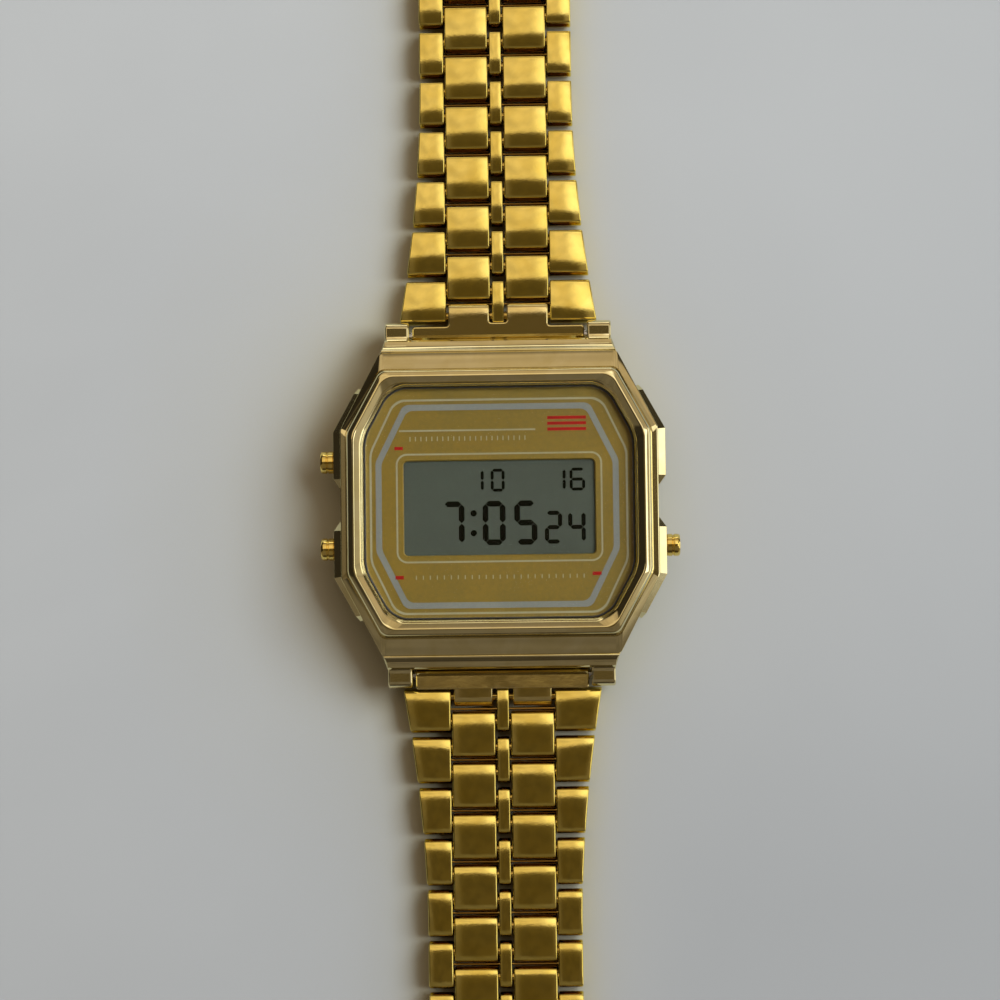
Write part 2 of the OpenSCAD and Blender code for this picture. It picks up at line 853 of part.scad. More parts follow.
module clasp_cover() {
    mid_y = clasp_y + quarter;
    top = cover_room + cover_t;
    wall_in = cover_half - cover_t;
    color("#cfae52")
        difference() {
            union() {
                block(-cover_half, cover_half, clasp_y + 2.9, hinge_y + 0.9, cover_room, top);
                block(-cover_half, cover_half, clasp_y + 2.9, clasp_y + 2.9 + cover_t, 0.3, top);
                along_x(-centre_half, centre_half)
                    block_side(mid_y, outer_l);
                for (s = sides)
                    scale([s, 1, 1]) {
                        along_x(outer_in, strap_half)
                            block_side(mid_y, outer_l);
                        block(wall_in, cover_half, clasp_y + 2.9, hinge_y, 0.3, top);
                        rod(ear_in, cover_half, hinge_y, knuckle_r, knuckle_r);
                        block(ear_in, cover_half, hinge_y - knuckle_r, hinge_y + 0.9, knuckle_r, top);
                    }
            }
            rod(-pin_end - press_gap, pin_end + press_gap, clasp_y, link_z, seat_r);
            rod(-pin_end - press_gap, pin_end + press_gap, hinge_y, knuckle_r, seat_r);
        }
    color("#a9a9a4") {
        rod(-pin_end, pin_end, clasp_y, link_z, pin_r);
        rod(-pin_end, pin_end, hinge_y, knuckle_r, pin_r);
    }
}

module clasp_leaf() {
    z0 = knuckle_r - leaf_t / 2;
    notch_w = 0.5;
    notch_depth = 0.15;
    notch_step = 1.5;
    color("#c4b27a")
        difference() {
            union() {
                rod(-leaf_half, leaf_half, hinge_y, knuckle_r, knuckle_r);
                block(-leaf_half, leaf_half, hinge_y, hinge_y + leaf_l, z0, z0 + leaf_t);
                block(-leaf_half, leaf_half, hinge_y + leaf_l - leaf_t, hinge_y + leaf_l, 0, z0 + leaf_t);
            }
            rod(-leaf_half - cut, leaf_half + cut, hinge_y, knuckle_r, bore_r);
            for (y = [hinge_y + 4:notch_step:hinge_y + leaf_l - 3])
                block(-leaf_half + 1, leaf_half - 1, y, y + notch_w, z0 + leaf_t - notch_depth, z0 + leaf_t + cut);
        }
}

module clasp_slider() {
    z0 = knuckle_r - leaf_t / 2 - clasp_gap;
    z1 = knuckle_r + leaf_t / 2 + clasp_gap;
    y1 = slider_y + slider_l;
    color("#cfae52")
        difference() {
            union() {
                block(-slider_out, slider_out, slider_y, y1, 0, z0);
                for (s = sides)
                    scale([s, 1, 1]) {
                        block(slider_in, slider_out, slider_y, y1, 0, slider_h);
                        rod(slider_in, slider_out, anchor_y, anchor_z, anchor_r);
                        block(slider_in, slider_out, anchor_y - anchor_r, anchor_y + anchor_r, z1, anchor_z);
                    }
                block(-slider_out, slider_out, slider_y, slider_y + 2, z1, slider_h);
            }
            rod(-slider_out + 0.3, slider_out - 0.3, anchor_y, anchor_z, seat_r);
            rod(-slider_out + 0.3, slider_out - 0.3, lock_y, lock_z, lock_t / 2 + run_gap);
        }
    color("#a9a9a4")
        rod(-slider_out + 0.35, slider_out - 0.35, anchor_y, anchor_z, pin_r);
}

module clasp_lock() {
    color("#c9b571") {
        block(-leaf_half + 0.1, leaf_half - 0.1, lock_y - lock_l, lock_y, slider_h - lock_t, slider_h);
        rod(-slider_out + 0.35, slider_out - 0.35, lock_y, lock_z, lock_t / 2);
    }
}

case_body();
bezel();
crystal();
crystal_gasket();
dial_plate();
lcd_panel();
lcd_digits();
lcd_reflector();
zebra_connectors();
module_frame();
circuit_board();
control_chip();
quartz_can();
backlight_lamp();
battery_cell();
battery_ring();
battery_clamp();
module_screws();
contact_springs();
buzzer_disc();
buzzer_spring();
back_gasket();
case_back();
case_back_screws();
button_seals();
spring_bars();
for (i = [0:2]) {
    button(buttons[i]);
    button_spring(buttons[i]);
    button_clip(buttons[i]);
}
end_piece();  // end_piece_upper
rotate([0, 0, 180]) end_piece();  // end_piece_lower
for (i = [1:upper_links])
    link_upper(i);
for (i = [1:lower_links])
    link_lower(i);
clasp_cover();
clasp_leaf();
clasp_slider();
clasp_lock();
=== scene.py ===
# %% [markdown]
# A gold digital watch on a link bracelet, laid out flat and seen from above.
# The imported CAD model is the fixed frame: it gives every place and size, and the pieces
# made here are fitted over it. They are built in millimetres and turned into metres at the end.

# %% Load the frame
import bpy
import bmesh
import random
from math import radians, sin, cos, pi, inf, atan2, hypot
from mathutils import Matrix, Vector


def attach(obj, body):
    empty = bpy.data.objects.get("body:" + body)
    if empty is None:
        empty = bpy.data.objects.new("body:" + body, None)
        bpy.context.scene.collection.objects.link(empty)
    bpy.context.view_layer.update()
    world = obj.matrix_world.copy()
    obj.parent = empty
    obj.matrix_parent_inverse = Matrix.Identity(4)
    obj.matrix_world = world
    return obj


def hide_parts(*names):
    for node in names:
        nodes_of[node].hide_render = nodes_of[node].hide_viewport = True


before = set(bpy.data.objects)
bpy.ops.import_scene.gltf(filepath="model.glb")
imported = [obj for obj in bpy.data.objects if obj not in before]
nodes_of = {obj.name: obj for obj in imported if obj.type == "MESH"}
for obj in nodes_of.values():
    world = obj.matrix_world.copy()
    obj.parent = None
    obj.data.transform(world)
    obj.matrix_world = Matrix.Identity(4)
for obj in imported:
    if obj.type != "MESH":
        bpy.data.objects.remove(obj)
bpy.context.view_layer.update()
scene = bpy.context.scene
MM = 0.001

# %% [markdown]
# The camera stands where the photograph was taken from: 30 cm above the dial, a little towards
# 6 o'clock and 3 o'clock, turned by less than a degree. Its place came from a least-squares fit
# of known points, so it is written as an aim point, a distance and three small angles.

# %% Camera
def place_camera(aim_mm, distance_mm, lean, tilt, twist, lens_mm):
    look = Vector((sin(lean), sin(tilt), -cos(tilt) * cos(lean))).normalized()
    right = look.cross(Vector((0, 1, 0))).normalized()
    up = right.cross(look)
    turned_right = cos(twist) * right + sin(twist) * up
    turned_up = cos(twist) * up - sin(twist) * right
    lens = bpy.data.cameras.new("photo_camera")
    lens.lens = lens_mm
    lens.sensor_width = 36
    lens.clip_start = 0.01
    camera = bpy.data.objects.new("photo_camera", lens)
    scene.collection.objects.link(camera)
    axes = Matrix((turned_right, turned_up, -look)).transposed().to_4x4()
    place = Matrix.Translation((Vector(aim_mm) - distance_mm * look) * MM)
    camera.matrix_world = place @ axes
    scene.camera = camera
    return camera


camera = place_camera((0.03, 0.32, 5.0), 300, radians(-1.56), radians(3.41), radians(-0.702), 107.2)
print("camera at", [round(v / MM, 1) for v in camera.matrix_world.translation])

# %% [markdown]
# Node trees are written often, so a few short helpers keep them readable. They add a node with
# its inputs set, join two sockets, do a sum, map one range of values to another, and mix colours.

# %% Node helpers
def add_node(tree, kind, inputs=None, **settings):
    node = tree.nodes.new(kind)
    for key, value in settings.items():
        setattr(node, key, value)
    for key, value in (inputs or {}).items():
        node.inputs[key].default_value = value
    return node


def join(tree, out_socket, in_socket):
    tree.links.new(out_socket, in_socket)


def set_or_join(tree, value, in_socket):
    """Writes a number or a colour on a socket, or joins the socket that is given instead."""
    if isinstance(value, (int, float, tuple)):
        in_socket.default_value = value
    else:
        join(tree, value, in_socket)


def sum_of(tree, operation, a, b=0.0):
    node = add_node(tree, "ShaderNodeMath", operation=operation)
    set_or_join(tree, a, node.inputs[0])
    set_or_join(tree, b, node.inputs[1])
    return node.outputs[0]


def remap(tree, value, low, high, to_low=0.0, to_high=1.0, soft=False):
    """Low becomes to_low and high becomes to_high, with soft ends if asked."""
    limits = {"From Min": low, "From Max": high, "To Min": to_low, "To Max": to_high}
    shape = "SMOOTHSTEP" if soft else "LINEAR"
    node = add_node(tree, "ShaderNodeMapRange", limits, interpolation_type=shape)
    join(tree, value, node.inputs["Value"])
    return node.outputs[0]


def mix_colours(tree, mask, a, b, blend="MIX"):
    node = add_node(tree, "ShaderNodeMix", data_type="RGBA", blend_type=blend)
    join(tree, mask, node.inputs[0])
    set_or_join(tree, a, node.inputs[6])
    set_or_join(tree, b, node.inputs[7])
    return node.outputs[2]


def object_place(tree):
    """The shaded point in the object's own coordinates, whole and as X, Y and Z."""
    where = add_node(tree, "ShaderNodeTexCoord").outputs["Object"]
    split = add_node(tree, "ShaderNodeSeparateXYZ")
    join(tree, where, split.inputs[0])
    return where, split.outputs


def start_material(name):
    material = bpy.data.materials.new(name)
    material.use_nodes = True
    material.node_tree.nodes.clear()
    return material, material.node_tree


def colour(r, g, b):
    """A colour picked from a screen, 0 to 255, as the linear light that nodes use."""
    shares = [v / 255 for v in (r, g, b)]
    linear = [v / 12.92 if v <= 10 / 255 else ((v + 0.055) / 1.055) ** 2.4 for v in shares]
    return (*linear, 1)


# %% [markdown]
# Polished metal is never quite clean. Handling leaves soft smudges, wear leaves fine scratches,
# and plating shows small pits. The three effects are one node group, so each metal places it
# with its own scales. It only puts out values; the shader stays in each material.

# %% Shared finish group
def make_finish_group():
    group = bpy.data.node_groups.new("worn_finish", "ShaderNodeTree")
    face = group.interface
    for name, value in (("Smudge Scale", 300.0), ("Scratch Scale", 900.0), ("Pit Scale", 1500.0)):
        face.new_socket(name, in_out="INPUT", socket_type="NodeSocketFloat").default_value = value
    stretch = face.new_socket("Stretch", in_out="INPUT", socket_type="NodeSocketVector")
    stretch.default_value = (1, 1, 1)
    for name in ("Smudge", "Scratch", "Pit", "Height"):
        face.new_socket(name, in_out="OUTPUT", socket_type="NodeSocketFloat")
    ins = add_node(group, "NodeGroupInput")
    outs = add_node(group, "NodeGroupOutput")
    where = add_node(group, "ShaderNodeTexCoord").outputs["Object"]
    smudge = add_node(group, "ShaderNodeTexNoise",
                      {"Detail": 4.0, "Roughness": 0.55, "Distortion": 0.6})
    join(group, where, smudge.inputs["Vector"])
    join(group, ins.outputs["Smudge Scale"], smudge.inputs["Scale"])
    pulled = add_node(group, "ShaderNodeVectorMath", operation="MULTIPLY")
    join(group, where, pulled.inputs[0])
    join(group, ins.outputs["Stretch"], pulled.inputs[1])
    scratch = add_node(group, "ShaderNodeTexNoise", {"Detail": 6.0, "Roughness": 0.7})
    join(group, pulled.outputs[0], scratch.inputs["Vector"])
    join(group, ins.outputs["Scratch Scale"], scratch.inputs["Scale"])
    cells = add_node(group, "ShaderNodeTexVoronoi", {"Randomness": 1.0})
    join(group, where, cells.inputs["Vector"])
    join(group, ins.outputs["Pit Scale"], cells.inputs["Scale"])
    pit = remap(group, cells.outputs["Distance"], 0.06, 0.16, 1.0, 0.0)
    rare = remap(group, smudge.outputs["Fac"], 0.62, 0.7)
    few = sum_of(group, "MULTIPLY", pit, rare)
    height = sum_of(group, "SUBTRACT", scratch.outputs["Fac"], few)
    join(group, smudge.outputs["Fac"], outs.inputs["Smudge"])
    join(group, scratch.outputs["Fac"], outs.inputs["Scratch"])
    join(group, few, outs.inputs["Pit"])
    join(group, height, outs.inputs["Height"])
    return group


worn_finish = make_finish_group()
print("node group:", worn_finish.name)

# %% [markdown]
# Gold plate is a mirror with a warm tint. The strap shows a deep yellow and the case a paler one,
# so both come from one recipe: a base colour that drifts slightly towards a deeper tone, a low
# roughness that the smudges raise, and a very small bump from the scratches and pits.
# Between the strap's columns the gold sees only more gold, and there a painted shade darkens its
# colour towards deep brown.

# %% Painted gap shade
# Colour and strongest share of the painted shade between the strap's columns.
GAP_SHADE = (0.3, 0.14, 0.04, 1)
GAP_SHADE_SHARE = 0.65


def painted_gap_shade_mask(tree):
    """Painted shade: strong between the strap's columns, 0 on its tops, undersides and outer sides.
    """
    place, axes = object_place(tree)
    across = sum_of(tree, "ABSOLUTE", axes["X"])
    below_tops = remap(tree, axes["Z"], 0.002, 0.0016, 0.0, GAP_SHADE_SHARE, soft=True)
    above_floor = remap(tree, axes["Z"], 0.0001, 0.0005, soft=True)
    within = remap(tree, across, 0.0077, 0.0073, soft=True)
    return sum_of(tree, "MULTIPLY", sum_of(tree, "MULTIPLY", below_tops, above_floor), within)


# %% Metal recipe
def add_relief(tree, finish, shader, strength, depth):
    """Bumps the surface by the finish's height."""
    relief = add_node(tree, "ShaderNodeBump", {"Strength": strength, "Distance": depth})
    join(tree, finish.outputs["Height"], relief.inputs["Height"])
    join(tree, relief.outputs[0], shader.inputs["Normal"])


def metal(name, tint, deep, smooth, smudged, bump, smudge=300.0, stretch=(1, 1, 1), shade_gaps=False):
    material, tree = start_material(name)
    out = add_node(tree, "ShaderNodeOutputMaterial")
    shader = add_node(tree, "ShaderNodeBsdfPrincipled", {"Metallic": 1.0})
    finish = add_node(tree, "ShaderNodeGroup", node_tree=worn_finish)
    finish.inputs["Smudge Scale"].default_value = smudge
    finish.inputs["Stretch"].default_value = stretch
    base = mix_colours(tree, remap(tree, finish.outputs["Smudge"], 0.4, 0.75), tint, deep)
    if shade_gaps:
        # Painted shade: the colour turns deep brown between the strap's columns.
        base = mix_colours(tree, painted_gap_shade_mask(tree), base, GAP_SHADE)
    join(tree, base, shader.inputs["Base Color"])
    rough = remap(tree, finish.outputs["Smudge"], 0.3, 0.75, smooth, smudged)
    join(tree, rough, shader.inputs["Roughness"])
    add_relief(tree, finish, shader, bump, 0.0002)
    join(tree, shader.outputs[0], out.inputs["Surface"])
    return material


DEEP_YELLOW = (0.87, 0.71, 0.19, 1), (0.79, 0.61, 0.12, 1)
strap_gold = metal("strap_gold_plate", *DEEP_YELLOW, 0.06, 0.13, 0.03, shade_gaps=True)
clasp_gold = metal("clasp_gold_plate", *DEEP_YELLOW, 0.08, 0.16, 0.03)
case_gold = metal("case_gold_plate", (0.83, 0.745, 0.41, 1), (0.75, 0.65, 0.3, 1), 0.05, 0.1, 0.012)
end_gold = metal("end_piece_gold_plate", (0.86, 0.72, 0.32, 1), (0.76, 0.62, 0.22, 1),
                 0.06, 0.13, 0.03)
button_gold = metal("button_gold_plate", (0.9, 0.7, 0.2, 1), (0.8, 0.58, 0.13, 1), 0.06, 0.13, 0.02)
inner_gold = metal("strap_gold_inside", (0.7, 0.55, 0.22, 1), (0.62, 0.47, 0.17, 1),
                   0.2, 0.3, 0.03, smudge=200.0)
steel = metal("brushed_steel", (0.62, 0.61, 0.58, 1), (0.5, 0.49, 0.47, 1),
              0.22, 0.36, 0.08, stretch=(1, 14, 1))
spring_steel = metal("spring_steel", (0.6, 0.6, 0.6, 1), (0.46, 0.46, 0.45, 1), 0.18, 0.3, 0.04)
brass = metal("contact_brass", (0.8, 0.6, 0.28, 1), (0.62, 0.42, 0.16, 1), 0.2, 0.34, 0.05)
print("metals made: strap, clasp, case, end piece, button and inside gold, steel, brass")

# %% [markdown]
# Printed, moulded and painted surfaces share a second recipe. Fine grain breaks up the colour,
# and a second tone drifts over it slowly, as ink, paint and plastic do under raking light.

# %% Paint and plastic recipe
def coated(name, base, other, rough=0.5, rough_more=0.6, metallic=0.0, grain=4000.0,
           drift=120.0, bump=0.1, shine=0.5):
    material, tree = start_material(name)
    out = add_node(tree, "ShaderNodeOutputMaterial")
    shader = add_node(tree, "ShaderNodeBsdfPrincipled",
                      {"Metallic": metallic, "Specular IOR Level": shine})
    finish = add_node(tree, "ShaderNodeGroup", node_tree=worn_finish)
    finish.inputs["Smudge Scale"].default_value = drift
    finish.inputs["Scratch Scale"].default_value = grain
    finish.inputs["Pit Scale"].default_value = grain
    both = sum_of(tree, "ADD", finish.outputs["Smudge"], finish.outputs["Scratch"])
    spread = remap(tree, sum_of(tree, "MULTIPLY", both, 0.5), 0.38, 0.62)
    join(tree, mix_colours(tree, spread, base, other), shader.inputs["Base Color"])
    uneven = remap(tree, finish.outputs["Smudge"], 0.0, 1.0, rough, rough_more)
    join(tree, uneven, shader.inputs["Roughness"])
    add_relief(tree, finish, shader, bump, 0.00005)
    join(tree, shader.outputs[0], out.inputs["Surface"])
    return material


dial_gold = coated("dial_gold_paint", colour(115, 89, 18), colour(101, 81, 21),
                   0.42, 0.55, 0.35, 2600.0, 90.0, 0.12)
dial_silver = coated("dial_silver_ink", colour(112, 109, 99), colour(103, 101, 94),
                     0.4, 0.5, 0.3, 3000.0)
dial_pale = coated("dial_pale_ink", colour(134, 125, 95), colour(124, 115, 87),
                   0.45, 0.55, 0.2, 3000.0)
dial_red = coated("dial_red_ink", colour(140, 12, 8), colour(116, 10, 8),
                  0.45, 0.6, 0.0, 3000.0, shine=0.15)
lcd_green = coated("lcd_polariser", colour(62, 65, 55), colour(57, 59, 50),
                   0.25, 0.32, 0.0, 6000.0, 60.0, 0.03, 0.15)
lcd_dark = coated("lcd_segment", colour(3, 4, 3), colour(6, 7, 5),
                  0.35, 0.45, 0.0, 6000.0, shine=0.0)
white_film = coated("white_film", (0.72, 0.73, 0.7, 1), (0.62, 0.64, 0.6, 1), 0.4, 0.55)
strip_rubber = coated("strip_rubber", (0.55, 0.5, 0.48, 1), (0.12, 0.12, 0.12, 1),
                      0.6, 0.8, 0.0, 2200.0)
black_rubber = coated("black_rubber", (0.016, 0.014, 0.012, 1), (0.03, 0.028, 0.025, 1), 0.55, 0.75)
black_plastic = coated("black_plastic", (0.02, 0.02, 0.022, 1), (0.04, 0.04, 0.042, 1), 0.35, 0.55)
board_green = coated("board_green", (0.02, 0.13, 0.05, 1), (0.05, 0.2, 0.09, 1),
                     0.3, 0.5, 0.0, 1500.0)
lamp_clear = coated("lamp_clear", (0.8, 0.78, 0.68, 1), (0.7, 0.68, 0.58, 1), 0.15, 0.3)
print("coated finishes made")

# %% [markdown]
# The crystal is a thin slab of clear glass. A real slab lets lamp light straight through to the
# dial, but a path tracer would need many samples for that, so shadow rays pass it untouched.

# %% Glass
def clear_glass(name):
    material, tree = start_material(name)
    out = add_node(tree, "ShaderNodeOutputMaterial")
    shader = add_node(tree, "ShaderNodeBsdfPrincipled",
                      {"Base Color": (0.97, 0.98, 0.96, 1), "Roughness": 0.02, "IOR": 1.36,
                       "Transmission Weight": 1.0})
    finish = add_node(tree, "ShaderNodeGroup", node_tree=worn_finish)
    wiped = remap(tree, finish.outputs["Smudge"], 0.45, 0.8, 0.0, 0.06)
    join(tree, wiped, shader.inputs["Roughness"])
    open_air = add_node(tree, "ShaderNodeBsdfTransparent")
    rays = add_node(tree, "ShaderNodeLightPath")
    choose = add_node(tree, "ShaderNodeMixShader")
    join(tree, rays.outputs["Is Shadow Ray"], choose.inputs[0])
    join(tree, shader.outputs[0], choose.inputs[1])
    join(tree, open_air.outputs[0], choose.inputs[2])
    join(tree, choose.outputs[0], out.inputs["Surface"])
    return material


crystal_glass = clear_glass("crystal_glass")

# %% [markdown]
# Every piece ends the same way: doubles merged, normals turned outward, millimetres turned into
# metres, soft shading with edges over 32 degrees kept sharp, and a body to ride on.

# %% Finish a piece
MERGE_UNDER = 0.0008
SHARP_OVER = radians(32)


def finish_piece(bm, name, body, material, stands_for=(), flat_over=inf):
    """Faces of seven or more corners, or larger than flat_over square mm, are shaded flat."""
    bmesh.ops.remove_doubles(bm, verts=bm.verts, dist=MERGE_UNDER)
    bmesh.ops.recalc_face_normals(bm, faces=bm.faces)
    for face in bm.faces:
        face.smooth = len(face.verts) < 7 and face.calc_area() < flat_over
    bmesh.ops.scale(bm, vec=(MM, MM, MM), verts=bm.verts)
    for edge in bm.edges:
        if len(edge.link_faces) == 2 and edge.calc_face_angle(0.0) > SHARP_OVER:
            edge.smooth = False
    mesh = bpy.data.meshes.new(name)
    bm.to_mesh(mesh)
    bm.free()
    mesh.materials.append(material)
    piece = bpy.data.objects.new(name, mesh)
    scene.collection.objects.link(piece)
    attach(piece, body)
    if stands_for:
        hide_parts(*stands_for)
    return piece


# %% Mesh helpers
def bevel(bm, what, offset, segments, affect="EDGES", clamp=False):
    bmesh.ops.bevel(bm, geom=what, offset=offset, segments=segments, profile=0.5, affect=affect,
                    material=-1, clamp_overlap=clamp)


def new_verts(grown):
    """The vertices among what an extrusion made."""
    return [g for g in grown["geom"] if isinstance(g, bmesh.types.BMVert)]


def half_turn(bm):
    """Turns a piece made for the 12 o'clock side to the 6 o'clock side."""
    bmesh.ops.rotate(bm, verts=bm.verts, cent=(0, 0, 0), matrix=Matrix.Rotation(pi, 3, "Z"))


# %% [markdown]
# The case, bezel, crystal and dial are all eight-sided rings with rounded corners. Each is
# made the same way: an eight-sided outline is rounded with a vertex bevel, and its edges are
# extruded from one height and inset to the next. The last ring is welded to the first.

# %% Eight-sided loops
BAND = (16.0, 15.3, 7.5, 11.98)
BEZEL = (15.4, 13.5, 7.1, 11.9)


def plan_corners(plan, inset):
    a, b, side, end = plan
    nx, ny = (b - side) / hypot(b - side, a - end), (a - end) / hypot(b - side, a - end)
    reach = nx * a + ny * side - inset
    x1, y2 = a - inset, b - inset
    y1, x2 = (reach - nx * x1) / ny, (reach - ny * y2) / nx
    return [(x1, -y1), (x1, y1), (x2, y2), (-x2, y2), (-x1, y1), (-x1, -y1), (-x2, -y2), (x2, -y2)]


def rounded_points(corners, cuts, steps):
    """Rounds the corners of a flat outline with a bevel. The points come in order of angle."""
    flat = bmesh.new()
    verts = [flat.verts.new((x, y, 0)) for x, y in corners]
    flat.faces.new(verts)
    for which, cut in cuts:
        bevel(flat, [verts[i] for i in which], cut, steps, "VERTICES")
    points = [(v.co.x, v.co.y) for v in flat.verts]
    flat.free()
    cx = (max(x for x, y in points) + min(x for x, y in points)) / 2
    cy = (max(y for x, y in points) + min(y for x, y in points)) / 2
    return sorted(points, key=lambda point: atan2(point[1] - cy, point[0] - cx))


def plan_points(plan, inset, radius):
    turn = atan2(plan[0] - plan[3], plan[1] - plan[2])
    cuts = [((0, 1, 4, 5), 1.5 * radius * sin(turn / 2) / cos(turn / 2)),
            ((2, 3, 6, 7), radius * sin((pi / 2 - turn) / 2) / cos((pi / 2 - turn) / 2))]
    return rounded_points(plan_corners(plan, inset), cuts, 7)


def across_edge(vert, fresh):
    """The new vertex at the far end of one of this vertex's edges."""
    return next(e.other_vert(vert) for e in vert.link_edges if e.other_vert(vert) in fresh)


def extrude_rings(bm, rings, closed=True):
    """Extrudes the first ring of points to each next one. A closed set ends where it began."""
    verts = [bm.verts.new(point) for point in rings[0]]
    first = verts
    edges = [bm.edges.new(pair) for pair in zip(verts, verts[1:] + verts[:1])]
    for ring in rings[1:] + ([rings[0]] if closed else []):
        grown = bmesh.ops.extrude_edge_only(bm, edges=edges)
        fresh = set(new_verts(grown))
        new_edges = [g for g in grown["geom"] if isinstance(g, bmesh.types.BMEdge)]
        edges = [e for e in new_edges if all(v in fresh for v in e.verts)]
        verts = [across_edge(v, fresh) for v in verts]
        for vert, point in zip(verts, ring):
            vert.co = point
    if closed:
        bmesh.ops.weld_verts(bm, targetmap=dict(zip(verts, first)))
    return first, verts


RISE_END = 14.8
RISE_LENGTH = 7.5


def side_share(y):
    """1 along the straight sides, falling to 0 at the ends."""
    return min(1.0, max(0.0, (RISE_END - abs(y)) / RISE_LENGTH))


def loft(bm, sections, closed=True):
    """Sections are (plan, inset, z, radius) and may add a rise, which lifts the straight sides."""
    rings = []
    for plan, inset, z, radius, *rise in sections:
        points = plan_points(plan, inset, radius)
        rings.append([(x, y, z + sum(rise) * side_share(y)) for x, y in points])
    return extrude_rings(bm, rings, closed)


def close_rims(bm, rims):
    for rim in rims:
        bmesh.ops.contextual_create(bm, geom=rim)


# %% [markdown]
# The case band is a hollow ring. Outside it rises to a rounded shoulder, slopes up to the bezel
# seat, and inside it drops to the module's room. A thin groove under the shoulder gives the fine
# dark line that runs round the photographed case.

# %% Case band
def make_case_band():
    bm = bmesh.new()
    outside = [(BAND, 0.4, 0.9, 0.5), (BAND, 0.2, 1.0, 0.6), (BAND, 0.15, 1.2, 0.6)]
    groove = [(BAND, 0.15, 4.9, 0.6), (BAND, 0.26, 4.96, 0.6), (BAND, 0.26, 5.12, 0.6)]
    shoulder = [(BAND, 0.05, 5.2, 0.6), (BAND, 0.0, 5.5, 0.6, 0.2), (BAND, 0.01, 5.68, 0.6, 0.36),
                (BAND, 0.05, 5.8, 0.6, 0.4), (BAND, 0.12, 5.85, 0.6, 0.41)]
    seat = [(BEZEL, -0.08, 6.46, 0.9, -0.16), (BEZEL, -0.06, 6.44, 0.9, -0.16),
            (BEZEL, -0.05, 6.4, 0.9, -0.12), (BEZEL, -0.05, 6.33, 0.9)]
    inside = [(BEZEL, 1.52, 6.33, 2.6), (BEZEL, 1.52, 6.0, 2.6), (BEZEL, 2.2, 6.0, 2.0),
              (BEZEL, 2.2, 0.9, 2.0)]
    loft(bm, outside + groove + shoulder + seat + inside)
    return finish_piece(bm, "case_band", "watch_head", case_gold, ("case_body",))


case_band = make_case_band()
print("case band faces:", len(case_band.data.polygons))

# %% [markdown]
# The lugs, the hood bars between them and the side guards are forged with the case. Each is made
# on its own as a closed form that sinks into the band, which keeps their bevels crisp.

# %% Side-view bars
def join_into(bm, part, flip=(1, 1, 1)):
    """Adds a part that was made on its own, mirrored first where flip says so."""
    bmesh.ops.scale(part, vec=flip, verts=part.verts)
    bmesh.ops.recalc_face_normals(part, faces=part.faces)
    mesh = bpy.data.meshes.new("part")
    part.to_mesh(mesh)
    part.free()
    bm.from_mesh(mesh)
    bpy.data.meshes.remove(mesh)


def side_bar(outline, x0, x1, rim=0.12, steps=3):
    """A closed bar along X from a side outline of (y, z) corners, with its end rims bevelled."""
    bm = bmesh.new()
    face = bm.faces.new([bm.verts.new((x0, y, z)) for y, z in outline])
    grown = bmesh.ops.extrude_face_region(bm, geom=[face])
    bmesh.ops.translate(bm, vec=(x1 - x0, 0, 0), verts=new_verts(grown))
    bmesh.ops.recalc_face_normals(bm, faces=bm.faces)
    rims = [e for e in bm.edges if abs(e.verts[0].co.x - e.verts[1].co.x) < 1e-6]
    bevel(bm, rims, rim, steps)
    return bm


def arc(cy, cz, r, a0, a1, count):
    """Points of (y, z) round a centre, from one angle in degrees to another."""
    angles = [radians(a0 + (a1 - a0) * i / count) for i in range(count + 1)]
    return [(cy + r * cos(a), cz + r * sin(a)) for a in angles]


# %% Lugs
# Each lug's place by its signs in x and y, and how much its polished top dips towards the case.
LUG_DIPS = ((-1, 1, 0.028), (1, 1, 0.02), (-1, -1, 0.03), (1, -1, 0.025))
LUG_SIDES = (9.02, 11.45)


def make_lugs():
    whole = bmesh.new()
    foot = [(14.3, 0.95), (16.0, 1.25)]
    tip = arc(17.2, 2.6, 1.3, -150, 10, 12)
    end = [(18.5, 3.6), (18.46, 4.3), (18.36, 4.62), (18.16, 4.84), (17.85, 4.97)]
    slope = [(16.7, 5.03), (16.4, 5.24), (16.0, 5.5), (15.7, 5.6), (14.3, 5.6)]
    for sx, sy, dip in LUG_DIPS:
        outline = foot + tip + end + [(17.0, 4.97 - dip)] + slope
        join_into(whole, side_bar(outline, *LUG_SIDES, 0.22, 4), (sx, sy, 1))
    return finish_piece(whole, "case_lugs", "watch_head", case_gold, ("case_body",),
                        flat_over=0.7)


case_lugs = make_lugs()

# %% Hood bars
def make_hoods():
    """A bar across each end: a crest, a hollow slope that flattens outward, and a rounded lip."""
    whole = bmesh.new()
    below = [(14.6, 4.3), (16.2, 4.3)]
    lip = arc(16.25, 4.95, 0.38, -60, 50, 8)
    hollow = [(16.42, 5.36), (16.0, 5.49), (15.82, 5.58), (15.66, 5.7), (15.56, 5.79)]
    crest = [(15.48, 5.85), (15.38, 5.87), (15.3, 5.84), (15.22, 5.74), (15.15, 5.6), (14.6, 5.6)]
    outline = below + lip + hollow + crest
    for sy in (-1, 1):
        part = side_bar(outline, -11.5, 11.5, 0.1)
        for v in part.verts:
            if abs(v.co.x) > 11.0:
                v.co.x *= 1 + max(0.0, 0.4 - 0.5 * (v.co.y - 15.3)) / 11.5
        join_into(whole, part, (1, sy, 1))
    return finish_piece(whole, "case_hoods", "watch_head", case_gold, ("case_body",))


case_hoods = make_hoods()

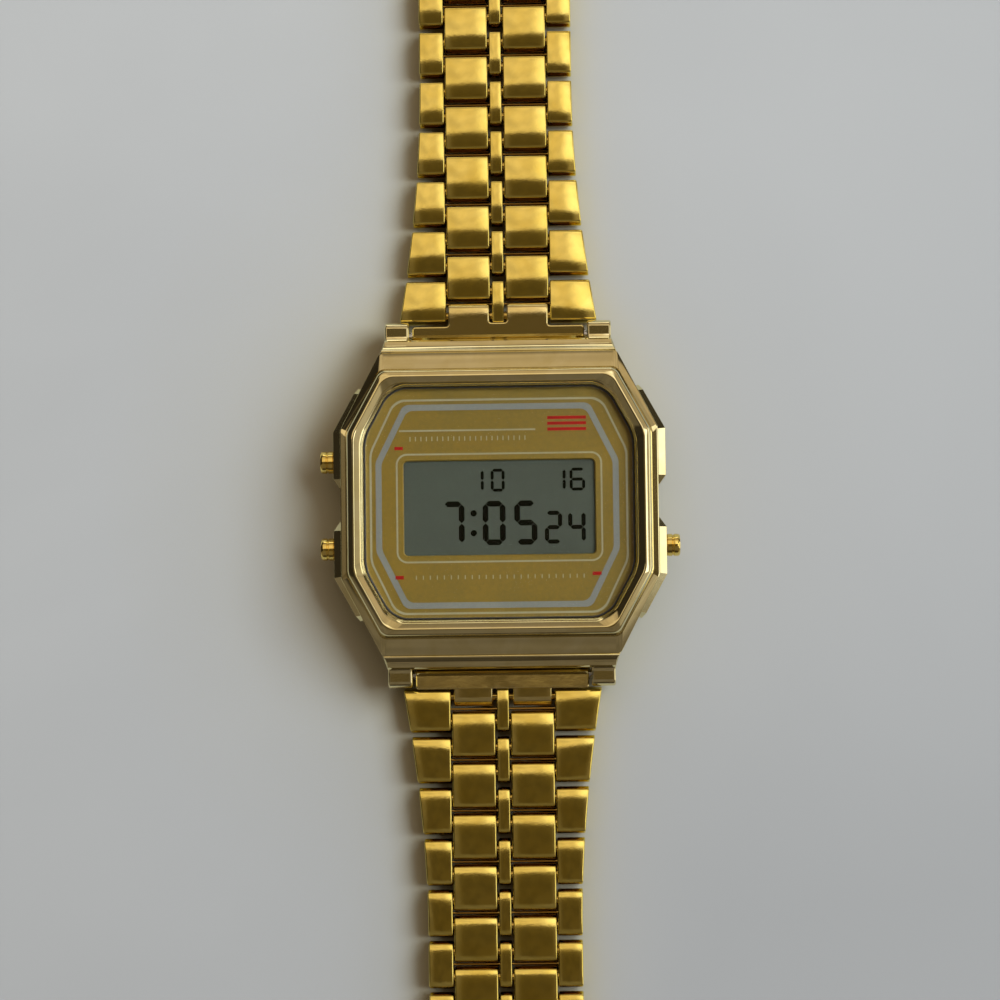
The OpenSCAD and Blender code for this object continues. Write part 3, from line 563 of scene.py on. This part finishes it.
# %% Guards
def make_guards():
    """Each is a thick strip along the band: three flats seen from above, rounded at the top."""
    whole = bmesh.new()
    inside = [(15.2, 1.9), (15.7, 2.6), (15.7, 7.2), (13.7, 11.1), (13.5, 11.5)]
    outside = [(16.08, 1.65), (16.76, 2.6), (16.76, 7.35), (14.6, 11.25), (14.12, 11.75)]
    across = [(0.0, 1.6), (1.0, 1.6), (1.0, 5.28), (0.99, 5.35), (0.97, 5.4), (0.3, 5.94),
              (0.22, 5.98), (0.0, 6.0)]
    rings = []
    for (xi, yi), (xo, yo) in zip(inside, outside):
        rings.append([(xi + (xo - xi) * t, yi + (yo - yi) * t, z) for t, z in across])
    for sx in (-1, 1):
        for sy in (-1, 1):
            part = bmesh.new()
            close_rims(part, extrude_rings(part, rings, closed=False))
            bmesh.ops.recalc_face_normals(part, faces=part.faces)
            turns = [e for e in part.edges if e.calc_face_angle(0.0) > radians(30)]
            bevel(part, turns, 0.03, 2)
            join_into(whole, part, (sx, sy, 1))
    return finish_piece(whole, "case_guards", "watch_head", case_gold,
                        ("case_body",), flat_over=0.2)


case_guards = make_guards()
print("made:", case_lugs.name, case_hoods.name, case_guards.name)

# %% [markdown]
# The bezel is a separate ring with a rounded ridge. Its outer slope and the steeper slope inside
# catch different parts of the room, so the ridge reads as a pale line between two darker ones.

# %% Bezel
def make_bezel():
    bm = bmesh.new()
    outer_slope = [(0.0, 6.34, 1.0), (0.0, 6.75, 1.0), (0.04, 6.95, 1.0), (0.14, 7.45, 1.1),
                   (0.2, 7.74, 1.1), (0.26, 7.88, 1.1), (0.34, 7.96, 1.1), (0.46, 8.02, 1.2)]
    ridge = [(0.72, 8.13, 1.4), (0.84, 8.16, 1.6), (0.92, 8.14, 1.7), (1.0, 8.09, 1.8)]
    inner_slope = [(1.36, 7.88, 2.3), (1.42, 7.84, 2.4), (1.44, 7.66, 2.4), (1.5, 7.62, 2.5),
                   (1.84, 7.14, 2.6), (1.86, 7.08, 2.6), (1.86, 6.98, 2.6), (1.82, 6.9, 2.6)]
    underside = [(1.5, 6.9, 2.6), (1.5, 6.34, 2.6)]
    loft(bm, [(BEZEL, *section) for section in outer_slope + ridge + inner_slope + underside])
    return finish_piece(bm, "bezel_ring", "watch_head", case_gold, ("bezel",))


bezel_ring = make_bezel()

# %% Gasket and crystal
CRYSTAL_R = 2.6


def make_gasket():
    bm = bmesh.new()
    profile = [(1.52, 6.34), (1.52, 6.85), (1.55, 6.88), (1.98, 6.88), (2.0, 6.85), (2.0, 6.34)]
    loft(bm, [(BEZEL, inset, z, CRYSTAL_R) for inset, z in profile])
    return finish_piece(bm, "crystal_gasket_ring", "watch_head", black_rubber,
                        ("crystal_gasket",))


def make_crystal():
    bm = bmesh.new()
    profile = [(2.02, 6.34), (2.02, 7.0), (2.05, 7.03), (2.09, 7.04)]
    close_rims(bm, loft(bm, [(BEZEL, inset, z, CRYSTAL_R) for inset, z in profile], closed=False))
    return finish_piece(bm, "crystal_slab", "watch_head", crystal_glass,
                        ("crystal",))


gasket_ring = make_gasket()
crystal_slab = make_crystal()
print("made:", bezel_ring.name, gasket_ring.name, crystal_slab.name)

# %% [markdown]
# The dial is a thin painted plate with a rounded window. The same ring extrusion makes it: up the
# outside, across the top to the window's edge, down the window's small chamfer and back.

# %% Dial plate
DIAL_TOP = 6.28
DIAL_BOTTOM = 6.0
WINDOW = (-9.6, 9.6, -5.25, 4.25)


def window_points(grow, z, radius):
    x0, x1, y0, y1 = WINDOW[0] - grow, WINDOW[1] + grow, WINDOW[2] - grow, WINDOW[3] + grow
    corners = [(x1, y0), (x1, y1), (x0, y1), (x0, y0)]
    return [(x, y, z) for x, y in rounded_points(corners, [((0, 1, 2, 3), radius)], 15)]


def make_dial():
    bm = bmesh.new()
    outer = plan_points(BEZEL, 1.53, 2.6)
    extrude_rings(bm, [
        [(x, y, DIAL_BOTTOM) for x, y in outer], [(x, y, DIAL_TOP) for x, y in outer],
        window_points(0.1, DIAL_TOP, 0.55), window_points(0.0, DIAL_TOP - 0.1, 0.45),
        window_points(0.0, DIAL_BOTTOM, 0.45),
    ])
    return finish_piece(bm, "dial_face", "watch_head", dial_gold, ("dial_plate",))


dial_face = make_dial()

# %% [markdown]
# The print on the dial is ink a few hundredths of a millimetre thick. Each line is its own thin
# closed strip, just proud of the plate: two eight-sided bands, a rounded line round the window,
# and a few short straight marks.

# %% Dial print
INK_BASE = DIAL_TOP + 0.003
INK_TOP = DIAL_TOP + 0.015
OUTER_LINE = (12.95, 10.82, 5.5, 10.4)
SILVER = (12.2, 10.25, 4.5, 9.35)


def print_band(bm, plan, inset0, inset1, radius):
    loft(bm, [(plan, inset0, INK_BASE, radius), (plan, inset0, INK_TOP, radius),
              (plan, inset1, INK_TOP, radius), (plan, inset1, INK_BASE, radius)])


def print_bar(bm, x0, x1, y0, y1):
    made = bmesh.ops.create_cube(bm, size=1.0)["verts"]
    bmesh.ops.scale(bm, vec=(x1 - x0, y1 - y0, INK_TOP - INK_BASE), verts=made)
    middle = ((x0 + x1) / 2, (y0 + y1) / 2, (INK_BASE + INK_TOP) / 2)
    bmesh.ops.translate(bm, vec=middle, verts=made)


def print_ticks(bm, first, step, count, y0, y1):
    for i in range(count):
        print_bar(bm, first + step * i - 0.05, first + step * i + 0.05, y0, y1)


def shifted(bm, dx, dy):
    bmesh.ops.translate(bm, vec=(dx, dy, 0), verts=bm.verts)


def make_dial_print():
    bm = bmesh.new()
    print_band(bm, OUTER_LINE, 0.0, 0.2, 1.6)
    shifted(bm, -0.05, -0.35)
    outer = finish_piece(bm, "dial_outer_line", "watch_head", dial_pale)
    bm = bmesh.new()
    print_band(bm, SILVER, 0.0, 0.6, 0.9)
    shifted(bm, -0.2, -0.32)
    band = finish_piece(bm, "dial_silver_band", "watch_head", dial_silver)
    bm = bmesh.new()
    extrude_rings(bm, [window_points(0.75, INK_BASE, 1.1), window_points(0.75, INK_TOP, 1.1),
                       window_points(0.58, INK_TOP, 0.95), window_points(0.58, INK_BASE, 0.95)])
    print_bar(bm, -10.0, 3.7, 7.22, 7.38)
    print_ticks(bm, -8.9, 0.55, 22, 6.25, 6.7)
    print_ticks(bm, -8.4, 0.7, 25, -7.66, -7.26)
    line = finish_piece(bm, "dial_window_line", "watch_head", dial_pale)
    bm = bmesh.new()
    for mark in ((-10.48, -9.63, 5.38, 5.72), (-10.5, -9.66, -7.62, -7.25),
                 (9.25, 10.16, -7.42, -7.07)):
        print_bar(bm, *mark)
    for y in (8.45, 7.88, 7.3):
        print_bar(bm, 4.9, 8.8, y - 0.16, y + 0.16)
    red = finish_piece(bm, "dial_red_marks", "watch_head", dial_red)
    return outer, band, line, red


dial_print = make_dial_print()
print("made:", dial_face.name, [piece.name for piece in dial_print])

# %% [markdown]
# The push buttons are turned parts. A round face is extruded and inset step by step along X,
# which gives the stem with its clip groove, the ribbed and chamfered rim, and the shallow dish.

# %% Buttons
def turned(bm, steps, x0, y, z, side=1, count=32):
    """Turns a closed part along X. Steps are (radius, x); the first and last radius close it."""
    start = bmesh.ops.create_circle(bm, cap_ends=True, radius=steps[0][0], segments=count)["verts"]
    bmesh.ops.rotate(bm, verts=start, cent=(0, 0, 0), matrix=Matrix.Rotation(pi / 2, 3, "Y"))
    bmesh.ops.translate(bm, vec=(steps[0][1], 0, 0), verts=start)
    made = list(start)
    cap = start[0].link_faces[0]
    for (r0, xa), (r1, xb) in zip(steps, steps[1:]):
        grown = bmesh.ops.extrude_face_region(bm, geom=[cap])
        verts = new_verts(grown)
        new_cap = [g for g in grown["geom"] if isinstance(g, bmesh.types.BMFace)][0]
        if cap is not new_cap and cap.is_valid and (r0, xa) != steps[0]:
            bmesh.ops.delete(bm, geom=[cap], context="FACES_ONLY")
        bmesh.ops.translate(bm, vec=(xb - xa, 0, 0), verts=verts)
        bmesh.ops.scale(bm, vec=(1, r1 / r0, r1 / r0), verts=verts)
        made += verts
        cap = new_cap
    bmesh.ops.translate(bm, vec=(x0, 0, 0), verts=made)
    bmesh.ops.scale(bm, vec=(side, 1, 1), verts=made)
    bmesh.ops.translate(bm, vec=(0, y, z), verts=made)
    return made


BUTTON_Z = 4.1
BUTTON_STEM = [(0.42, 12.55), (0.45, 12.6), (0.45, 12.85), (0.33, 12.85), (0.33, 13.09),
               (0.45, 13.09), (0.45, 15.85)]
BUTTON_HEAD = [(0.95, 15.9), (1.05, 16.0), (1.05, 16.8), (1.13, 16.86), (1.13, 17.28),
               (1.04, 17.34), (1.04, 17.44), (1.13, 17.52), (1.13, 17.8), (1.1, 17.96),
               (1.0, 18.08), (0.84, 18.12), (0.76, 18.04), (0.3, 18.06), (0.02, 18.06)]


def make_button(name, side, y):
    bm = bmesh.new()
    turned(bm, BUTTON_STEM + BUTTON_HEAD, 0, y, BUTTON_Z, side)
    return finish_piece(bm, name + "_cap", name, button_gold, (name,))


button_caps = [make_button("button_left_upper", -1, 4.4),
               make_button("button_left_lower", -1, -4.4),
               make_button("button_right_lower", 1, -4.4)]
print("buttons made:", len(button_caps))

# %% [markdown]
# A bracelet block is a folded gold sleeve: a slightly crowned plate over ends rolled round the
# pins. Its side outline is extruded across the strap, its side rims get a small bevel that catches
# the light, and the outer blocks are then flared to follow the strap's edge.

# %% Bracelet block
PITCH = 5.15
QUARTER = PITCH / 4
FIRST_PIN = 19.4
LINK_H = 2.6
BLOCK_L = 4.76
CROWN = 0.15
ROLL = 1.07
TOP_OVER = 1.95


def strap_half_at(y):
    """Half of the strap's width, which grows from the clasp towards the lugs."""
    t = max(0.0, 1 - (y - FIRST_PIN + 1) / 24)
    return 7.78 + (10.1 - 7.78) * t ** 1.8


def block_outline(length):
    """Side outline of a folded sleeve: a crowned plate over two rolls, with a groove between."""
    half, plate = length / 2, length / 2 - 0.22
    crowned = [(plate - 0.3) * (1 - i / 6) for i in range(13)]
    above = [(y, LINK_H - CROWN * (y / plate) ** 2) for y in crowned]
    brow = above[0][1]
    rolled = arc(half - ROLL, ROLL, ROLL, -90, 38, 12)
    groove = [(half - 0.3, 1.86), (half - 0.3, 1.92), (plate, 1.98)]
    edge = [(plate, brow - 0.158), (plate - 0.02, brow - 0.115), (plate - 0.06, brow - 0.075),
            (plate - 0.12, brow - 0.042), (plate - 0.2, brow - 0.018)]
    right = rolled + groove + edge
    return right + above + [(-y, z) for y, z in reversed(right)]


def strap_block(x0, x1, y, length, rim=0.14, flare=None, tilt=0.0, twist=0.0, lean=0.0):
    """Tilt raises the top along the strap, lean across it, and twist from corner to corner."""
    bm = side_bar([(y + dy, z) for dy, z in block_outline(length)], x0, x1, rim)
    for v in bm.verts:
        if v.co.z > TOP_OVER:
            off = v.co.x - (x0 + x1) / 2
            v.co.z += (tilt + twist * off) * (v.co.y - y) + lean * off
    if flare:
        for v in bm.verts:
            if v.co.x > (x0 + x1) / 2:
                v.co.x += flare(v.co.y) - x1
    return bm


def strap_pin(bm, y, half):
    steps = [(0.36, -half), (0.44, -half + 0.08), (0.44, half - 0.08), (0.36, half)]
    turned(bm, steps, 0, y, LINK_H / 2, 1, 20)


# %% [markdown]
# No two blocks of a folded bracelet lie quite alike. Each top is tilted and twisted by a small
# seeded amount, so the line between the bright and the dark reflection wanders as in the photo.

# %% Links
OUTER_X0 = 5.3
MID_X = (0.8, 5.17)
CENTRE_HALF = 0.6
LUG_ROOM = 0.26
TAIL_ROOM = 0.4
LAST_LOWER = 10
set_by_hand = random.Random(12)


def hand_set(tilt_most, twist_most, tilt_mean=0.0):
    tilt = tilt_mean + set_by_hand.uniform(-tilt_most, tilt_most)
    return {"tilt": tilt, "twist": set_by_hand.uniform(-twist_most, twist_most)}


def make_link(name, index, side):
    """Blocks, pins and loops of one link. Side is 1 for the upper strap and -1 for the lower."""
    bm = bmesh.new()
    mid = FIRST_PIN + index * PITCH + QUARTER
    rear = mid + 2 * QUARTER
    lug_room = LUG_ROOM if index == 0 else 0.0
    tail_room = TAIL_ROOM if index == LAST_LOWER else 0.0
    for sx in (-1, 1):
        upper_right = side > 0 and sx > 0
        tilt = -0.035 if upper_right or (side > 0 and index == 0) else 0.0
        lean = -0.05 if upper_right else 0.0
        outer = strap_block(OUTER_X0, strap_half_at(mid), mid + lug_room / 2, BLOCK_L - lug_room,
                            flare=strap_half_at, lean=lean, **hand_set(0.01, 0.012, tilt))
        join_into(bm, outer, (sx, 1, 1))
        inner = strap_block(*MID_X, rear - tail_room / 2, BLOCK_L - tail_room,
                            **hand_set(0.01, 0.004))
        join_into(bm, inner, (sx, 1, 1))
        join_into(bm, side_bar(arc(mid, 1.0, 0.13, 0, 330, 11), 0.55, 5.45, 0.02, 1), (sx, 1, 1))
    join_into(bm, strap_block(-CENTRE_HALF, CENTRE_HALF, mid, BLOCK_L, rim=0.1))
    for s in (-1, 1):
        strap_pin(bm, mid + s * QUARTER, 7.2)
    if side < 0:
        half_turn(bm)
    return finish_piece(bm, name + "_blocks", name, strap_gold, (name,))


links = [make_link("link_upper_%d" % (i + 1), i, 1) for i in range(8)]
links += [make_link("link_lower_%d" % (i + 1), i, -1) for i in range(11)]
print("links made:", len(links), "with faces:", sum(len(p.data.polygons) for p in links))

# %% [markdown]
# The end pieces fill the space between the lugs. A rounded plate covers the spring bar. On the
# upper one two tongues reach over the first pins between the outer blocks and the centre bar. The
# lower one's plate ends before them, and shows the two loops that hold the first pin.

# %% End pieces
SHEET_Z = 2.72
SHEET_T = 0.6
DROOP_FROM = 19.8
PLATE_WITH_TONGUES = [(8.75, 16.82), (8.75, 18.15), (5.05, 18.15), (5.05, 20.5), (0.92, 20.5),
                      (0.92, 18.5)]
PLAIN_PLATE = [(8.75, 16.72), (8.75, 18.66)]


def end_sheet(half):
    """The top sheet from half of its plan, with its top rim rounded and its far end drooping."""
    outline = [(-x, y) for x, y in half] + [(x, y) for x, y in reversed(half)]
    bm = bmesh.new()
    verts = [bm.verts.new((x, y, SHEET_Z)) for x, y in outline]
    bm.faces.new(verts)
    bevel(bm, verts, 0.3, 4, "VERTICES")
    grown = bmesh.ops.extrude_face_region(bm, geom=bm.faces[:])
    bmesh.ops.translate(bm, vec=(0, 0, SHEET_T), verts=new_verts(grown))
    bmesh.ops.recalc_face_normals(bm, faces=bm.faces)
    top = [e for e in bm.edges if min(v.co.z for v in e.verts) > SHEET_Z + 0.48]
    bevel(bm, [e for e in top if e.calc_face_angle(0.0) > radians(60)], 0.13, 4)
    for y in (19.0, 19.8, 19.95, 20.1, 20.22, 20.32):
        bmesh.ops.bisect_plane(bm, geom=bm.verts[:] + bm.edges[:] + bm.faces[:],
                               plane_co=(0, y, 0), plane_no=(0, 1, 0))
    for v in bm.verts:
        v.co.z += 0.045 * (v.co.y - 18.5) - 0.9 * max(0.0, v.co.y - DROOP_FROM) ** 2
    return bm


def make_end_piece(name, side):
    bm = bmesh.new()
    join_into(bm, end_sheet(PLATE_WITH_TONGUES if side > 0 else PLAIN_PLATE))
    barrel = arc(17.2, 2.55, 1.08, 100, 300, 16) + [(18.0, 1.9), (18.0, 3.1), (17.4, 3.15)]
    loop = arc(19.4, 1.3, 1.0, -90, 88, 14) + [(18.6, 2.36), (18.0, 2.36), (18.2, 1.2)]
    join_into(bm, side_bar(barrel, -8.7, 8.7, 0.1))
    for sx in (-1, 1):
        join_into(bm, side_bar(loop, 1.05, 4.95, 0.1), (sx, 1, 1))
    if side < 0:
        half_turn(bm)
    return finish_piece(bm, name + "_plate", name, end_gold, (name,))


end_plates = [make_end_piece("end_piece_upper", 1), make_end_piece("end_piece_lower", -1)]
print("made:", [plate.name for plate in end_plates])

# %% [markdown]
# The clasp, the case back and its screws have the right shapes in the CAD model but razor edges.
# Each is copied, its loose triangles are merged into flat faces, and its sharp edges get a bevel.

# %% Clasp, case back and screws
def softened(node_name, body, material, soften_by):
    bm = bmesh.new()
    bm.from_mesh(nodes_of[node_name].data)
    bmesh.ops.scale(bm, vec=(1 / MM, 1 / MM, 1 / MM), verts=bm.verts)
    bmesh.ops.remove_doubles(bm, verts=bm.verts, dist=0.002)
    bmesh.ops.dissolve_limit(bm, angle_limit=radians(1), verts=bm.verts, edges=bm.edges)
    bmesh.ops.recalc_face_normals(bm, faces=bm.faces)
    sharp = [e for e in bm.edges if e.calc_face_angle(0.0) > radians(40)]
    bevel(bm, sharp, soften_by, 3, clamp=True)
    return finish_piece(bm, node_name + "_soft", body, material, (node_name,))


soft_pieces = [
    softened("clasp_cover", "clasp_cover", clasp_gold, 0.14),
    softened("clasp_leaf", "clasp_leaf", inner_gold, 0.03),
    softened("clasp_slider", "clasp_slider", clasp_gold, 0.1),
    softened("clasp_lock", "clasp_lock", clasp_gold, 0.08),
    softened("case_back", "watch_head", steel, 0.1),
    softened("case_back_screws", "watch_head", spring_steel, 0.05),
]
print("softened pieces:", [(p.name, len(p.data.polygons)) for p in soft_pieces])

# %% [markdown]
# The pieces inside the case keep their CAD shapes, which are right, and get finishes of their own.

# %% Finishes for the inner pieces
BUTTON_PLACES = ("left_upper", "left_lower", "right_lower")
INNER = (
    (lcd_green, "lcd_panel"), (lcd_dark, "lcd_digits"), (white_film, "lcd_reflector"),
    (strip_rubber, "zebra_connectors"), (board_green, "circuit_board"),
    (lamp_clear, "backlight_lamp"), (steel, "battery_cell"),
    (black_plastic, "module_frame", "control_chip", "battery_ring"),
    (black_rubber, "back_gasket", "button_seals"),
    (brass, "contact_springs", "buzzer_disc"),
    (spring_steel, "quartz_can", "battery_clamp", "module_screws", "buzzer_spring", "spring_bars"),
    (spring_steel, *("button_spring_" + place for place in BUTTON_PLACES)),
    (spring_steel, *("button_clip_" + place for place in BUTTON_PLACES)),
)
for material, *names in INNER:
    for name in names:
        nodes_of[name].data.materials.clear()
        nodes_of[name].data.materials.append(material)
print("finishes set on", sum(len(names) for material, *names in INNER), "CAD nodes")

# %% [markdown]
# The watch lies on a smooth pale table. Faint marks and a soft sheen keep it from looking flat. Its
# colour is also painted darker towards the lower right, a painted falloff of the light.
# Gold throws warm light on what is near it. That light is painted into the table's colour: it is
# made warmer and a little darker where the watch hides the room, and most of all on the left, where
# that light falls into the shadow.

# %% Table
def make_table():
    material, tree = start_material("pale_table")
    out = add_node(tree, "ShaderNodeOutputMaterial")
    shader = add_node(tree, "ShaderNodeBsdfPrincipled",
                      {"Roughness": 0.45, "Specular IOR Level": 0.25})
    finish = add_node(tree, "ShaderNodeGroup", node_tree=worn_finish)
    finish.inputs["Smudge Scale"].default_value = 9.0
    place, axes = object_place(tree)
    # Painted light falloff: the colour darkens along this direction, towards the lower right, with
    # the faint marks over it.
    along = add_node(tree, "ShaderNodeVectorMath", {1: (4.6, -5.8, 0.0)}, operation="DOT_PRODUCT")
    join(tree, place, along.inputs[0])
    drift = sum_of(tree, "ADD", along.outputs["Value"], finish.outputs["Smudge"])
    tone = mix_colours(tree, drift, colour(191, 192, 191), colour(166, 167, 167))
    # Painted bounce light and shade: the colour turns warmer and darker where ambient occlusion
    # finds the watch close by, more on the left.
    near = add_node(tree, "ShaderNodeAmbientOcclusion", {"Distance": 0.025}, samples=6)
    hidden = remap(tree, near.outputs["AO"], 1.0, 0.6)
    shadow_side = remap(tree, axes["X"], 0.02, -0.015, 0.35, 1.5)
    painted_bounce = sum_of(tree, "MULTIPLY", hidden, shadow_side)
    painted_bounce_tone = mix_colours(tree, painted_bounce, tone, (0.97, 0.87, 0.6, 1), "MULTIPLY")
    join(tree, painted_bounce_tone, shader.inputs["Base Color"])
    join(tree, shader.outputs[0], out.inputs["Surface"])
    bm = bmesh.new()
    bmesh.ops.create_grid(bm, x_segments=2, y_segments=2, size=1.5)
    mesh = bpy.data.meshes.new("table")
    bm.to_mesh(mesh)
    bm.free()
    mesh.materials.append(material)
    table = bpy.data.objects.new("table", mesh)
    scene.collection.objects.link(table)
    return table


table = make_table()

# %% [markdown]
# Polished gold shows the room, so the light is built as a room, patch over patch. A patch lies
# between two values of the direction's x, y or z, or of u and v, its slopes against straight up.
# The room is bright above the 12 o'clock side, dim to the left and towards 6 o'clock, and dark
# straight overhead, where the camera and the hand holding it block the light. A window stands on
# the right with a dark shelf beside it. Slow noise over it all breaks the patches up.

# %% World
def make_world():
    world = bpy.data.worlds.new("room")
    world.use_nodes = True
    scene.world = world
    tree = world.node_tree
    tree.nodes.clear()
    out = add_node(tree, "ShaderNodeOutputWorld")
    back = add_node(tree, "ShaderNodeBackground")
    way = add_node(tree, "ShaderNodeTexCoord").outputs["Generated"]
    split = add_node(tree, "ShaderNodeSeparateXYZ")
    join(tree, way, split.inputs[0])

    def step_up(value, low, high):
        return remap(tree, value, low, high, soft=True)

    def less(a, b):
        return sum_of(tree, "SUBTRACT", a, b)

    def both(a, b):
        return sum_of(tree, "MULTIPLY", a, b)

    def between(value, low, high, soft):
        rise = step_up(value, low - soft, low + soft)
        return both(rise, less(1.0, step_up(value, high - soft, high + soft)))

    def grey(value, warm):
        """A tone whose blue is the share that warm says, and whose green lies halfway."""
        return (value, value * (1 + warm) / 2, value * warm, 1)

    def paint(mask, tone):
        nonlocal room
        room = mix_colours(tree, mask, room, tone)

    x, y, z = split.outputs["X"], split.outputs["Y"], split.outputs["Z"]
    height = sum_of(tree, "MAXIMUM", z, 0.02)
    u, v = sum_of(tree, "DIVIDE", x, height), sum_of(tree, "DIVIDE", y, height)
    room = grey(0.03, 0.6)
    paint(step_up(x, -0.6, -0.1), grey(0.24, 0.6))
    paint(step_up(x, 0.15, 0.5), grey(0.4, 0.66))
    paint(between(y, -0.85, -0.3, 0.06), grey(0.17, 0.66))
    paint(less(1.0, step_up(y, -0.9, -0.82)), grey(0.06, 0.6))
    paint(both(between(v, 0.8, 1.7, 0.1), step_up(u, -1.4, -0.9)), grey(0.58, 0.58))
    ceiling = both(between(v, 0.115, 0.88, 0.014), between(u, -0.75, 0.45, 0.12))
    paint(ceiling, mix_colours(tree, step_up(u, 0.02, 0.3), grey(0.9, 0.6), grey(1.5, 0.78)))
    window = both(step_up(x, 0.5, 0.62), between(y, -0.42, 0.36, 0.04))
    window_tone = mix_colours(tree, step_up(z, 0.36, 0.44), grey(1.7, 0.93), grey(0.48, 0.74))
    paint(both(window, step_up(z, 0.03, 0.08)), window_tone)
    pane = both(between(x, 0.52, 0.7, 0.01), between(y, -0.22, 0.26, 0.02))
    paint(pane, grey(2.1, 0.93))
    far_pane = both(between(y, 0.94, 0.985, 0.008), between(x, -0.3, 0.4, 0.05))
    paint(far_pane, grey(1.5, 0.85))
    low_right = less(step_up(x, 0.5, 0.6), step_up(z, 0.34, 0.4))
    shelf = sum_of(tree, "MAXIMUM", both(between(y, 0.39, 0.75, 0.03), low_right), 0.0)
    paint(shelf, grey(0.05, 0.7))
    overhead = both(between(v, -0.34, 0.115, 0.012), between(u, -0.26, 0.26, 0.05))
    paint(overhead, (0.1, 0.073, 0.036, 1))
    clutter = add_node(tree, "ShaderNodeTexNoise", {"Scale": 7.0, "Detail": 2.0, "Roughness": 0.5})
    join(tree, way, clutter.inputs["Vector"])
    uneven = remap(tree, clutter.outputs["Fac"], 0.34, 0.62, 0.78, 1.06)
    join(tree, room, back.inputs["Color"])
    join(tree, uneven, back.inputs["Strength"])
    join(tree, back.outputs[0], out.inputs["Surface"])
    return world


world = make_world()

# %% [markdown]
# One soft lamp on the right gives the shadow on the left. Glossy rays don't see it, because the
# painted window already stands for it in the gold.

# %% Lamp
def area_lamp(name, place_mm, aim_mm, size, power, tint):
    data = bpy.data.lights.new(name, "AREA")
    data.shape = "RECTANGLE"
    data.size, data.size_y = size
    data.energy = power
    data.color = tint
    lamp = bpy.data.objects.new(name, data)
    scene.collection.objects.link(lamp)
    lamp.visible_glossy = False
    way = (Vector(aim_mm) - Vector(place_mm)) * MM
    turn = way.to_track_quat("-Z", "Y").to_matrix().to_4x4()
    lamp.matrix_world = Matrix.Translation(Vector(place_mm) * MM) @ turn
    return lamp


window_lamp = area_lamp("window_light", (840, 300, 960), (0, 0, 0), (0.85, 0.8), 18.8,
                        (0.8, 0.905, 1.0))
scene.view_settings.view_transform = "Standard"
print("lit by", world.name, "and", window_lamp.name, "over", table.name)
